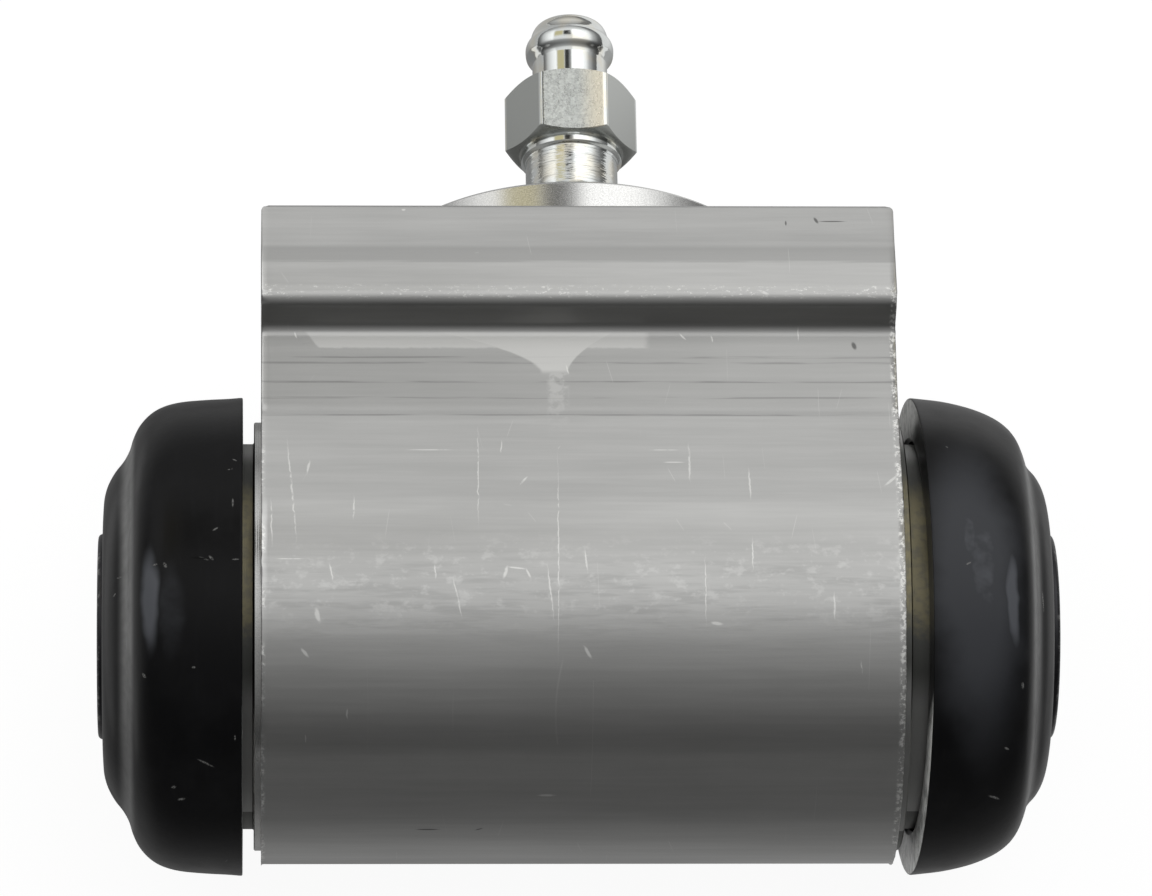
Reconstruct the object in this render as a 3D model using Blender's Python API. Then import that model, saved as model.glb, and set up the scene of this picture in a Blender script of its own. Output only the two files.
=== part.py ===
"""Drum-brake wheel cylinder with two pistons, for Blender 4.5.

The housing is a length of aluminium extrusion. It is turned down at both ends to
carry the dust boots, bored through for the pistons and drilled from its mounting
face for the inlet pipe, the bleeder and two bolts.

Frame, in metres: +X runs along the bore, +Y is the outward normal of the mounting
face and +Z is up when the cylinder is fitted, with the bleeder above the inlet. The
origin is the centre of the spigot in the plane of the mounting face.

A section is a list of (along, out) points: how far along the axis, how far out from it.
"""

import math

import bmesh
import bpy
from mathutils import Vector

MM = 0.001
TOLERANCE = 0.001 * MM

# Clearances
SEAT_GAP = 0.3 * MM
RUNNING_GAP = 0.1 * MM
THREAD_GAP = 0.15 * MM

# Extruded housing, seen along the bore
BORE_RADIUS = 12.7 * MM
BARREL_WALL = 6.8 * MM
FLANK_ANGLE = math.radians(12)
SHOULDER_DROP = 6.9 * MM
SHOULDER_STEP = 0.16 * MM
SHOULDER_COVE = 5.0 * MM
MOUNT_STANDOFF = 12.5 * MM
FLANGE_THICKNESS = 9.95 * MM
FLANGE_OVERHANG = 3.1 * MM
FLANGE_EDGE_RADIUS = 1.4 * MM
FLANGE_ROOT_RADIUS = 1.6 * MM
UNDERCUT_ANGLE = math.radians(21)
TAPER_DEPTH = 6.1 * MM
TAPER_REACH = 1.45 * MM
TAPER_BEND_DEPTH = 4.1 * MM
TAPER_BEND_REACH = 0.85 * MM
FACE_EDGE_RADIUS = 0.4 * MM
FACE_CORNER_RADIUS = 0.5 * MM

# Spigot that locates the housing in the backing plate, and the two bolt holes
SPIGOT_MARGIN = 1.25 * MM
SPIGOT_HEIGHT = 3.1 * MM
SPIGOT_CHAMFER = 0.3 * MM
BOLT_RADIUS = 3.0 * MM
BOLT_DEPTH = 12.0 * MM
DRILL_POINT_ANGLE = math.radians(31)
BOLT_LAND = 1.75 * MM
BOLT_EDGE = 1.75 * MM

# Ports for the brake pipe and the bleeder
PORT_OFFSET = 7.5 * MM
PORT_DRILL_RADIUS = 1.5 * MM
PORT_COUNTERSINK = 0.5 * MM
PORT_BREAKTHROUGH = 2.0 * MM
INLET_RADIUS = 5.0 * MM
INLET_DEPTH = 12.0 * MM

# Turned ends that carry the boots
COLLAR_STEP = 1.15 * MM
COLLAR_LENGTH = 0.65 * MM
COLLAR_CHAMFER = 0.25 * MM
NECK_WALL = 3.8 * MM
NECK_LENGTH = 8.35 * MM
NECK_CHAMFER = 0.5 * MM
NECK_GROOVE_START = 2.35 * MM
NECK_GROOVE_WIDTH = 2.6 * MM
NECK_GROOVE_DEPTH = 0.8 * MM
BORE_CHAMFER = 0.5 * MM

# Return spring, cup expanders and cup seals
SPRING_HALF_LENGTH = 9.0 * MM
SPRING_COIL_RADIUS = 6.8 * MM
SPRING_WIRE_RADIUS = 0.6 * MM
SPRING_TURNS = 6
SPRING_END_PITCH = 1.2
EXPANDER_PLATE = 0.8 * MM
EXPANDER_HUB_HEIGHT = 1.8 * MM
EXPANDER_HUB_DRAFT = 0.6 * MM
EXPANDER_HOLE_RADIUS = 1.2 * MM
EXPANDER_RIM_HEIGHT = 2.3 * MM
CUP_FLOOR = 3.0 * MM
CUP_LENGTH = 6.5 * MM
CUP_HEEL_RELIEF = 0.6 * MM
CUP_HEEL_CHAMFER = 0.6 * MM
CUP_WALL = 2.6 * MM
CUP_LIP = 1.3 * MM

# Pistons
PISTON_CHAMFER = 0.5 * MM
PISTON_STANDOUT = 0.6 * MM
PISTON_HEAD_RADIUS = 8.8 * MM
PISTON_HEAD_THICKNESS = 1.65 * MM
PISTON_HEAD_CHAMFER = 0.4 * MM
PISTON_GROOVE_DEPTH = 1.5 * MM
PISTON_GROOVE_WIDTH = 2.7 * MM
SHOE_SLOT_WIDTH = 6.5 * MM
SHOE_SLOT_DEPTH = 7.0 * MM
SHOE_SLOT_WALL = 1.3 * MM

# Dust boots
BOOT_STANDOFF = 0.95 * MM
BOOT_RIM_WALL = 3.6 * MM
BOOT_RIM_FLARE = 0.12 * MM
BOOT_RIM_TAPER = 0.2 * MM
BOOT_WALL = 1.9 * MM
BOOT_SHOULDER_RADIUS = 4.2 * MM
BOOT_DOME_RADIUS = 3.0 * MM
BOOT_DOME_SWEEP = math.radians(64)
BOOT_LIP_WIDTH = 2.8 * MM
BOOT_LIP_WEB = 1.6 * MM
PISTON_HEAD_PROUD = 0.45 * MM

# Bleeder screw, heights measured from the mounting face
BLEEDER_THREAD_RADIUS = 4.0 * MM
BLEEDER_HEX_HEIGHT = 10.9 * MM
BLEEDER_HEX_THICKNESS = 6.1 * MM
BLEEDER_HEX_ACROSS_FLATS = 10.0 * MM
BLEEDER_HEX_TURN = math.radians(6.7)
BLEEDER_HEX_CHAMFER_ANGLE = math.radians(28)
BLEEDER_COLLAR_RADIUS = 4.4 * MM
BLEEDER_COLLAR_THICKNESS = 0.8 * MM
BLEEDER_STEM_RADIUS = 3.25 * MM
BLEEDER_STEM_LENGTH = 2.9 * MM
BLEEDER_BEAD_RADIUS = 3.85 * MM
BLEEDER_BEAD_BELLY = 1.3 * MM
BLEEDER_NOSE_RADIUS = 3.0 * MM
BLEEDER_TOP_RADIUS = 2.2 * MM
BLEEDER_NOSE_LENGTH = 1.8 * MM
BLEEDER_TOP_CHAMFER = 0.8 * MM
BLEEDER_SHANK_LENGTH = 16.5 * MM
BLEEDER_TIP_STEP = 1.1 * MM
BLEEDER_TIP_LENGTH = 3.5 * MM
BLEEDER_BORE_RADIUS = 1.1 * MM
BLEEDER_CROSS_RADIUS = 0.8 * MM

# Facets round a full turn
BORE_SEGMENTS = 40
BOOT_SEGMENTS = 40
CUP_SEGMENTS = 24
SMALL_SEGMENTS = 20
SPIGOT_SEGMENTS = 40
SPRING_STEPS_PER_TURN = 12
HOLE_SEGMENTS = 12
HEX_SIDES = 6

# Facets along the curves of an outline
BARREL_STEPS = 20
COVE_STEPS = 5
EDGE_STEPS = 4
CORNER_STEPS = 3
SHOULDER_STEPS = 5
DOME_STEPS = 3
SLOT_END_STEPS = 7
ROUND_PROFILE = 0.5
SHARP_ANGLE = math.radians(30)

# Sizes that follow from those above, measured from the bore's axis
BARREL_RADIUS = BORE_RADIUS + BARREL_WALL
MOUNT_HEIGHT = BARREL_RADIUS + MOUNT_STANDOFF
SHOULDER_HEIGHT = BARREL_RADIUS - SHOULDER_DROP
FLANK_HEIGHT = BARREL_RADIUS * math.sin(FLANK_ANGLE)
FLANK_HALF_WIDTH = BARREL_RADIUS * math.cos(FLANK_ANGLE)
SHOULDER_HALF_WIDTH = FLANK_HALF_WIDTH - (SHOULDER_HEIGHT - FLANK_HEIGHT) * math.tan(FLANK_ANGLE)
WAIST_HALF_WIDTH = SHOULDER_HALF_WIDTH - SHOULDER_STEP
FLANGE_HALF_WIDTH = WAIST_HALF_WIDTH + FLANGE_OVERHANG
FACE_HALF_WIDTH = FLANGE_HALF_WIDTH - TAPER_REACH
SPIGOT_RADIUS = FACE_HALF_WIDTH - SPIGOT_MARGIN
SPIGOT_TOP = MOUNT_HEIGHT + SPIGOT_HEIGHT

# Stations along the bore, measured from the middle of the housing
BOLT_STATION = SPIGOT_RADIUS + BOLT_LAND + BOLT_RADIUS
BODY_HALF_LENGTH = BOLT_STATION + BOLT_RADIUS + BOLT_EDGE
COLLAR_STATION = BODY_HALF_LENGTH + COLLAR_LENGTH
NECK_STATION = COLLAR_STATION + NECK_LENGTH
SPRING_SEAT_STATION = SPRING_HALF_LENGTH + SEAT_GAP
CUP_FLOOR_STATION = SPRING_SEAT_STATION + EXPANDER_PLATE + SEAT_GAP
CUP_BACK_STATION = CUP_FLOOR_STATION + CUP_FLOOR
CUP_LIP_STATION = CUP_BACK_STATION - CUP_LENGTH
PISTON_INNER_STATION = CUP_BACK_STATION + SEAT_GAP
PISTON_SHOULDER_STATION = NECK_STATION + PISTON_STANDOUT
PISTON_HEAD_STATION = PISTON_SHOULDER_STATION + PISTON_GROOVE_WIDTH
PISTON_FACE_STATION = PISTON_HEAD_STATION + PISTON_HEAD_THICKNESS
BOOT_RIM_STATION = COLLAR_STATION + BOOT_STANDOFF
BOOT_FRONT_STATION = PISTON_FACE_STATION - PISTON_HEAD_PROUD

# Radii of what fits together
COLLAR_RADIUS = BARREL_RADIUS - COLLAR_STEP
NECK_RADIUS = BORE_RADIUS + NECK_WALL
PISTON_RADIUS = BORE_RADIUS - RUNNING_GAP
PISTON_GROOVE_RADIUS = PISTON_HEAD_RADIUS - PISTON_GROOVE_DEPTH
CUP_LIP_RADIUS = BORE_RADIUS - SEAT_GAP
CUP_FLOOR_RADIUS = CUP_LIP_RADIUS - CUP_WALL
CUP_MOUTH_RADIUS = CUP_LIP_RADIUS - CUP_LIP
BOOT_BORE_RADIUS = NECK_RADIUS + SEAT_GAP
BOOT_RIM_RADIUS = BOOT_BORE_RADIUS + BOOT_RIM_WALL
BLEEDER_PORT_RADIUS = BLEEDER_THREAD_RADIUS + THREAD_GAP

# Heights on the bleeder, measured from the mounting face
BLEEDER_SHANK_FOOT = BLEEDER_HEX_HEIGHT - BLEEDER_SHANK_LENGTH
BLEEDER_TIP_HEIGHT = BLEEDER_SHANK_FOOT - BLEEDER_TIP_LENGTH
BLEEDER_TIP_RADIUS = BLEEDER_THREAD_RADIUS - BLEEDER_TIP_STEP
BLEEDER_CONE_FOOT = BLEEDER_TIP_HEIGHT + BLEEDER_TIP_RADIUS - BLEEDER_BORE_RADIUS
BLEEDER_HEX_TOP = BLEEDER_HEX_HEIGHT + BLEEDER_HEX_THICKNESS
BLEEDER_STEM_TOP = BLEEDER_HEX_TOP + BLEEDER_STEM_LENGTH
BLEEDER_BELLY_HEIGHT = BLEEDER_STEM_TOP + BLEEDER_BEAD_BELLY
BLEEDER_NOSE_HEIGHT = BLEEDER_BELLY_HEIGHT + BLEEDER_NOSE_LENGTH
BLEEDER_TOP = BLEEDER_NOSE_HEIGHT + BLEEDER_TOP_CHAMFER

# Places in the part's own frame
BORE_AXIS_Y = -MOUNT_HEIGHT
FACING = {"left": -1, "right": 1}


def make_material(name, colour, roughness, metallic):
    material = bpy.data.materials.new(name)
    material.use_nodes = True
    shader = material.node_tree.nodes["Principled BSDF"]
    shader.inputs["Base Color"].default_value = (*colour, 1)
    shader.inputs["Roughness"].default_value = roughness
    shader.inputs["Metallic"].default_value = metallic
    material.diffuse_color = (*colour, 1)
    return material


def make_object(name, bm, material):
    """Turn a bmesh into a linked object that is smooth apart from its sharp edges."""
    bmesh.ops.recalc_face_normals(bm, faces=bm.faces)
    mesh = bpy.data.meshes.new(name)
    bm.to_mesh(mesh)
    bm.free()
    mesh.materials.append(material)
    mesh.shade_smooth()
    mesh.set_sharp_from_angle(angle=SHARP_ANGLE)
    obj = bpy.data.objects.new(name, mesh)
    bpy.context.scene.collection.objects.link(obj)
    return obj


def arc(centre, radius, start, end, steps):
    """Points on an arc, from one angle to another, measured from the along axis."""
    points = []
    for step in range(steps + 1):
        angle = start + (end - start) * step / steps
        points.append((centre[0] + radius * math.cos(angle), centre[1] + radius * math.sin(angle)))
    return points


def rounded(before, corner, after, radius, steps):
    """Points of the arc that rounds a corner of an outline, hollow or proud."""
    corner = Vector(corner)
    to_before = (Vector(before) - corner).normalized()
    to_after = (Vector(after) - corner).normalized()
    half_angle = to_before.angle(to_after) / 2
    centre = corner + (to_before + to_after).normalized() * (radius / math.sin(half_angle))
    first = corner + to_before * (radius / math.tan(half_angle)) - centre
    last = corner + to_after * (radius / math.tan(half_angle)) - centre
    turn = first.angle_signed(last)
    points = []
    for step in range(steps + 1):
        angle = -turn * step / steps
        cosine, sine = math.cos(angle), math.sin(angle)
        points.append((
            centre.x + first.x * cosine - first.y * sine,
            centre.y + first.x * sine + first.y * cosine,
        ))
    return points


def cove(wall, end, radius, steps):
    """Points of a hollow curve that leaves an upright wall and flares out to its end."""
    reach = end[1] - wall
    sweep = math.acos((radius - reach) / radius)
    top = end[0] + radius * math.sin(sweep)
    points = []
    for step in range(steps + 1):
        angle = sweep * step / steps
        points.append((top - radius * math.sin(angle), wall + radius * (1 - math.cos(angle))))
    return points


def turned(name, section, segments, material):
    """Revolve a section about the object's Z axis: a solid, or a ring if it clears the axis."""
    bm = bmesh.new()
    verts = [bm.verts.new((radius, 0, along)) for along, radius in section]
    edges = [bm.edges.new(pair) for pair in zip(verts, verts[1:])]
    if section[0][1] > 0:
        edges.append(bm.edges.new((verts[-1], verts[0])))
    bmesh.ops.spin(
        bm, geom=verts + edges, cent=(0, 0, 0), axis=(0, 0, 1), dvec=(0, 0, 0),
        angle=math.tau, steps=segments, use_merge=True, use_duplicate=False,
    )
    bmesh.ops.remove_doubles(bm, verts=bm.verts, dist=TOLERANCE)
    return make_object(name, bm, material)


def extruded(name, outline, start, end, material):
    """Extrude an outline of (x, y) points along the object's Z axis."""
    bm = bmesh.new()
    face = bm.faces.new([bm.verts.new((x, y, start)) for x, y in outline])
    grown = bmesh.ops.extrude_face_region(bm, geom=[face])
    moved = [item for item in grown["geom"] if isinstance(item, bmesh.types.BMVert)]
    bmesh.ops.translate(bm, verts=moved, vec=(0, 0, end - start))
    return make_object(name, bm, material)


def combine(target, other, operation):
    """Join or cut with another object, which then stays only as a guide."""
    modifier = target.modifiers.new(f"{operation.lower()} {other.name}", "BOOLEAN")
    modifier.operation = operation
    modifier.solver = "EXACT"
    modifier.object = other
    other.hide_render = True
    other.display_type = "WIRE"


def place_along_bore(obj, side):
    """Stand a piece on the bore's axis, with its Z axis pointing out of the named end."""
    obj.location = (0, BORE_AXIS_Y, 0)
    obj.rotation_euler = (0, math.radians(90) * FACING[side], 0)


def place_in_face(obj, x, y, z):
    """Stand a piece in the mounting face, with its Z axis pointing out of that face."""
    obj.location = (x, y, z)
    obj.rotation_euler = (math.radians(-90), 0, 0)


def housing_half_outline():
    """One half of the extrusion, from the mounting face down, as (height, half-width) points."""
    face_corner = (MOUNT_HEIGHT, FACE_HALF_WIDTH)
    taper_bend = (MOUNT_HEIGHT - TAPER_BEND_DEPTH, FACE_HALF_WIDTH + TAPER_BEND_REACH)
    taper_end = (MOUNT_HEIGHT - TAPER_DEPTH, FLANGE_HALF_WIDTH)
    edge = (MOUNT_HEIGHT - FLANGE_THICKNESS, FLANGE_HALF_WIDTH)
    root = (edge[0] - FLANGE_OVERHANG * math.tan(UNDERCUT_ANGLE), WAIST_HALF_WIDTH)
    shoulder = (SHOULDER_HEIGHT, SHOULDER_HALF_WIDTH)
    waist = cove(WAIST_HALF_WIDTH, shoulder, SHOULDER_COVE, COVE_STEPS)
    points = rounded((MOUNT_HEIGHT, 0), face_corner, taper_bend, FACE_EDGE_RADIUS, CORNER_STEPS)
    points += [taper_bend, taper_end]
    points += rounded(taper_end, edge, root, FLANGE_EDGE_RADIUS, EDGE_STEPS)
    points += rounded(edge, root, waist[0], FLANGE_ROOT_RADIUS, EDGE_STEPS)
    points += waist
    return points + arc((0, 0), BARREL_RADIUS, math.pi / 2 - FLANK_ANGLE, math.pi, BARREL_STEPS)


def housing_outline():
    """The whole extrusion, as (x, y) points for an object whose Z axis lies along the bore."""
    half = housing_half_outline()
    near = [(-width, height) for height, width in half]
    far = [(width, height) for height, width in reversed(half[:-1])]
    return near + far


def make_extrusion(material):
    """The sawn length of extrusion, with the mounting face's two end edges rounded."""
    bar = extruded("housing", housing_outline(), -BODY_HALF_LENGTH, BODY_HALF_LENGTH, material)
    bm = bmesh.new()
    bm.from_mesh(bar.data)
    ends = []
    for edge in bm.edges:
        first, second = (vert.co for vert in edge.verts)
        on_face = min(first.y, second.y) > MOUNT_HEIGHT - TOLERANCE
        if on_face and abs(first.z - second.z) < TOLERANCE:
            ends.append(edge)
    bmesh.ops.bevel(
        bm, geom=ends, offset=FACE_CORNER_RADIUS, segments=CORNER_STEPS,
        affect="EDGES", profile=ROUND_PROFILE,
    )
    bmesh.ops.recalc_face_normals(bm, faces=bm.faces)
    bm.to_mesh(bar.data)
    bm.free()
    return bar


def turned_end_section():
    """Half of the turned core that carries the boots, from the middle out."""
    groove_start = COLLAR_STATION + NECK_GROOVE_START
    groove_end = groove_start + NECK_GROOVE_WIDTH
    groove_radius = NECK_RADIUS - NECK_GROOVE_DEPTH
    return [
        (COLLAR_STATION - COLLAR_CHAMFER, COLLAR_RADIUS),
        (COLLAR_STATION, COLLAR_RADIUS - COLLAR_CHAMFER),
        (COLLAR_STATION, NECK_RADIUS),
        (groove_start, NECK_RADIUS),
        (groove_start, groove_radius),
        (groove_end, groove_radius),
        (groove_end, NECK_RADIUS),
        (NECK_STATION - NECK_CHAMFER, NECK_RADIUS),
        (NECK_STATION, NECK_RADIUS - NECK_CHAMFER),
        (NECK_STATION, 0),
    ]


def bore_section():
    """The through bore, flared at both mouths to clear the chamfers."""
    mouth = NECK_STATION + BORE_CHAMFER
    half = [
        (NECK_STATION - BORE_CHAMFER, BORE_RADIUS),
        (mouth, BORE_RADIUS + 2 * BORE_CHAMFER),
        (mouth, 0),
    ]
    return [(-along, out) for along, out in reversed(half)] + half


def port_section(radius, depth):
    """A tapped port with a conical seat, drilled on into the bore, from its mouth down."""
    seat = depth + radius - PORT_DRILL_RADIUS
    bore_wall = math.sqrt(BORE_RADIUS**2 - PORT_OFFSET**2)
    drill_end = SPIGOT_TOP - bore_wall + PORT_BREAKTHROUGH
    return [
        (PORT_COUNTERSINK, 0),
        (PORT_COUNTERSINK, radius + 2 * PORT_COUNTERSINK),
        (-PORT_COUNTERSINK, radius),
        (-depth, radius),
        (-seat, PORT_DRILL_RADIUS),
        (-drill_end, PORT_DRILL_RADIUS),
        (-drill_end, 0),
    ]


def bleeder_port_depth():
    """How deep the bleeder's port runs before its cone, so that the screw's tip seats on it."""
    tip_depth = SPIGOT_HEIGHT - BLEEDER_TIP_HEIGHT
    return tip_depth + BLEEDER_BORE_RADIUS - BLEEDER_PORT_RADIUS + SEAT_GAP * math.sqrt(2)


def make_housing(material, guide):
    body = make_extrusion(material)
    place_along_bore(body, "right")

    end = turned_end_section()
    core_section = [(-along, out) for along, out in reversed(end)] + end
    core = turned("turned_core", core_section, BORE_SEGMENTS, guide)
    place_along_bore(core, "right")
    combine(body, core, "UNION")

    spigot_section = [
        (-SPIGOT_HEIGHT, 0),
        (-SPIGOT_HEIGHT, SPIGOT_RADIUS),
        (SPIGOT_HEIGHT - SPIGOT_CHAMFER, SPIGOT_RADIUS),
        (SPIGOT_HEIGHT, SPIGOT_RADIUS - SPIGOT_CHAMFER),
        (SPIGOT_HEIGHT, 0),
    ]
    spigot = turned("spigot", spigot_section, SPIGOT_SEGMENTS, guide)
    place_in_face(spigot, 0, 0, 0)
    combine(body, spigot, "UNION")

    bore = turned("bore", bore_section(), BORE_SEGMENTS, guide)
    place_along_bore(bore, "right")
    combine(body, bore, "DIFFERENCE")

    inlet = turned("inlet_port", port_section(INLET_RADIUS, INLET_DEPTH), SMALL_SEGMENTS, guide)
    place_in_face(inlet, 0, SPIGOT_HEIGHT, -PORT_OFFSET)
    combine(body, inlet, "DIFFERENCE")

    bleed_section = port_section(BLEEDER_PORT_RADIUS, bleeder_port_depth())
    bleed = turned("bleeder_port", bleed_section, SMALL_SEGMENTS, guide)
    place_in_face(bleed, 0, SPIGOT_HEIGHT, PORT_OFFSET)
    combine(body, bleed, "DIFFERENCE")

    bolt_section = [
        (PORT_COUNTERSINK, 0),
        (PORT_COUNTERSINK, BOLT_RADIUS + 2 * PORT_COUNTERSINK),
        (-PORT_COUNTERSINK, BOLT_RADIUS),
        (-BOLT_DEPTH, BOLT_RADIUS),
        (-BOLT_DEPTH - BOLT_RADIUS * math.tan(DRILL_POINT_ANGLE), 0),
    ]
    for side, facing in FACING.items():
        hole = turned(f"{side}_bolt_hole", bolt_section, SMALL_SEGMENTS, guide)
        place_in_face(hole, facing * BOLT_STATION, 0, 0)
        combine(body, hole, "DIFFERENCE")
    return body


def make_return_spring(material):
    """A coil with one closed turn at each end, on the bore's axis."""
    reach = SPRING_HALF_LENGTH - SPRING_WIRE_RADIUS
    end_rise = 2 * SPRING_WIRE_RADIUS * SPRING_END_PITCH
    curve = bpy.data.curves.new("return_spring", "CURVE")
    curve.dimensions = "3D"
    curve.bevel_depth = SPRING_WIRE_RADIUS
    curve.bevel_resolution = 1
    curve.use_fill_caps = True
    wire = curve.splines.new("POLY")
    steps = SPRING_TURNS * SPRING_STEPS_PER_TURN
    wire.points.add(steps)
    for step, point in enumerate(wire.points):
        turn = step / SPRING_STEPS_PER_TURN
        closing = min(turn, 1) + max(turn - (SPRING_TURNS - 1), 0)
        active = min(max(turn - 1, 0), SPRING_TURNS - 2) / (SPRING_TURNS - 2)
        along = -reach + end_rise * closing + (2 * reach - 2 * end_rise) * active
        angle = math.tau * turn
        x = SPRING_COIL_RADIUS * math.cos(angle)
        y = SPRING_COIL_RADIUS * math.sin(angle)
        point.co = (x, y, along, 1)
    curve.materials.append(material)
    spring = bpy.data.objects.new("return_spring", curve)
    bpy.context.scene.collection.objects.link(spring)
    place_along_bore(spring, "right")


def cup_wall_radius(station):
    """Radius of the inside of a cup seal, which opens from its floor to its mouth."""
    share = (CUP_FLOOR_STATION - station) / (CUP_FLOOR_STATION - CUP_LIP_STATION)
    return CUP_FLOOR_RADIUS + (CUP_MOUTH_RADIUS - CUP_FLOOR_RADIUS) * share


def make_cup_expander(side, material):
    """A pressed plate that centres the spring on its hub and spreads the cup's lip."""
    back = CUP_FLOOR_STATION - SEAT_GAP
    front = SPRING_SEAT_STATION
    hub_front = front - EXPANDER_HUB_HEIGHT
    hub_back = hub_front + EXPANDER_PLATE
    rim = front - EXPANDER_RIM_HEIGHT
    hub_root = SPRING_COIL_RADIUS - SPRING_WIRE_RADIUS - SEAT_GAP
    hub_top = hub_root - EXPANDER_HUB_DRAFT
    floor_radius = cup_wall_radius(back) - SEAT_GAP
    rim_radius = cup_wall_radius(rim) - SEAT_GAP
    section = [
        (hub_back, EXPANDER_HOLE_RADIUS),
        (hub_back, hub_top - EXPANDER_PLATE),
        (back, hub_root - EXPANDER_PLATE),
        (back, floor_radius),
        (rim, rim_radius),
        (rim, rim_radius - EXPANDER_PLATE),
        (front, floor_radius - EXPANDER_PLATE),
        (front, hub_root),
        (hub_front, hub_top),
        (hub_front, EXPANDER_HOLE_RADIUS),
    ]
    expander = turned(f"{side}_cup_expander", section, SMALL_SEGMENTS, material)
    place_along_bore(expander, side)


def make_cup_seal(side, material):
    """A rubber cup whose lip faces the fluid and bears on the bore."""
    heel_radius = CUP_LIP_RADIUS - CUP_HEEL_RELIEF
    section = [
        (CUP_BACK_STATION, 0),
        (CUP_BACK_STATION, heel_radius - CUP_HEEL_CHAMFER),
        (CUP_BACK_STATION - CUP_HEEL_CHAMFER, heel_radius),
        (CUP_FLOOR_STATION, heel_radius),
        (CUP_LIP_STATION + CUP_HEEL_CHAMFER, CUP_LIP_RADIUS),
        (CUP_LIP_STATION, CUP_LIP_RADIUS - CUP_HEEL_CHAMFER / 2),
        (CUP_LIP_STATION, CUP_MOUTH_RADIUS),
        (CUP_FLOOR_STATION, CUP_FLOOR_RADIUS),
        (CUP_FLOOR_STATION, 0),
    ]
    cup = turned(f"{side}_cup_seal", section, CUP_SEGMENTS, material)
    place_along_bore(cup, side)


def slot_outline():
    """A slot with round ends that stays inside the bottom of the boot groove."""
    end_radius = SHOE_SLOT_WIDTH / 2
    reach = PISTON_GROOVE_RADIUS - SHOE_SLOT_WALL - end_radius
    right = arc((reach, 0), end_radius, -math.pi / 2, math.pi / 2, SLOT_END_STEPS)
    left = arc((-reach, 0), end_radius, math.pi / 2, 3 * math.pi / 2, SLOT_END_STEPS)
    return right + left


def make_piston(side, material, guide):
    """A piston whose head is grooved for the boot's lip and slotted for the brake shoe."""
    section = [
        (PISTON_INNER_STATION, 0),
        (PISTON_INNER_STATION, PISTON_RADIUS - PISTON_CHAMFER),
        (PISTON_INNER_STATION + PISTON_CHAMFER, PISTON_RADIUS),
        (PISTON_SHOULDER_STATION - PISTON_CHAMFER, PISTON_RADIUS),
        (PISTON_SHOULDER_STATION, PISTON_RADIUS - PISTON_CHAMFER),
        (PISTON_SHOULDER_STATION, PISTON_GROOVE_RADIUS),
        (PISTON_HEAD_STATION, PISTON_GROOVE_RADIUS),
        (PISTON_HEAD_STATION, PISTON_HEAD_RADIUS),
        (PISTON_FACE_STATION - PISTON_HEAD_CHAMFER, PISTON_HEAD_RADIUS),
        (PISTON_FACE_STATION, PISTON_HEAD_RADIUS - PISTON_HEAD_CHAMFER),
        (PISTON_FACE_STATION, 0),
    ]
    piston = turned(f"{side}_piston", section, BORE_SEGMENTS, material)
    place_along_bore(piston, side)
    bottom = PISTON_FACE_STATION - SHOE_SLOT_DEPTH
    mouth = PISTON_FACE_STATION + PISTON_HEAD_CHAMFER
    slot = extruded(f"{side}_shoe_slot", slot_outline(), bottom, mouth, guide)
    place_along_bore(slot, side)
    combine(piston, slot, "DIFFERENCE")


def boot_outer_section():
    """The outside of a boot, from its rim over its shoulder and dome to its lip."""
    valley = NECK_STATION + SEAT_GAP + BOOT_WALL
    shoulder_radius = BOOT_RIM_RADIUS - BOOT_RIM_TAPER - BOOT_SHOULDER_RADIUS
    shoulder_centre = (valley - BOOT_SHOULDER_RADIUS, shoulder_radius)
    lip_radius = PISTON_HEAD_RADIUS + SEAT_GAP + BOOT_LIP_WIDTH
    dome_centre = (BOOT_FRONT_STATION - BOOT_DOME_RADIUS, lip_radius)
    points = [(BOOT_RIM_STATION, BOOT_RIM_RADIUS + BOOT_RIM_FLARE)]
    points.append((BOOT_RIM_STATION + BOOT_STANDOFF, BOOT_RIM_RADIUS))
    points += arc(shoulder_centre, BOOT_SHOULDER_RADIUS, math.pi / 2, 0, SHOULDER_STEPS)
    points += arc(dome_centre, BOOT_DOME_RADIUS, BOOT_DOME_SWEEP, 0, DOME_STEPS)
    return points


def boot_inner_section():
    """The inside of a boot, from its lip in the piston's groove back to its rim."""
    lip_outer = PISTON_HEAD_STATION - SEAT_GAP
    lip_inner = PISTON_SHOULDER_STATION + SEAT_GAP
    hole_radius = PISTON_HEAD_RADIUS + SEAT_GAP
    lip_radius = PISTON_GROOVE_RADIUS + SEAT_GAP
    web = BOOT_FRONT_STATION - BOOT_WALL
    fold_radius = hole_radius + BOOT_LIP_WIDTH
    bead_start = COLLAR_STATION + NECK_GROOVE_START + SEAT_GAP
    bead_end = bead_start + NECK_GROOVE_WIDTH - 2 * SEAT_GAP
    bead_radius = BOOT_BORE_RADIUS - NECK_GROOVE_DEPTH
    behind_neck = NECK_STATION + SEAT_GAP
    return [
        (BOOT_FRONT_STATION, hole_radius),
        (lip_outer, hole_radius),
        (lip_outer, lip_radius),
        (lip_inner, lip_radius),
        (lip_inner, lip_radius + BOOT_LIP_WEB),
        (web, fold_radius),
        (behind_neck + SEAT_GAP, NECK_RADIUS - BOOT_WALL),
        (behind_neck, BOOT_BORE_RADIUS),
        (bead_end, BOOT_BORE_RADIUS),
        (bead_end, bead_radius),
        (bead_start, bead_radius),
        (bead_start, BOOT_BORE_RADIUS),
        (BOOT_RIM_STATION, BOOT_BORE_RADIUS),
    ]


def make_dust_boot(side, material):
    section = boot_outer_section() + boot_inner_section()
    boot = turned(f"{side}_dust_boot", section, BOOT_SEGMENTS, material)
    place_along_bore(boot, side)


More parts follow.
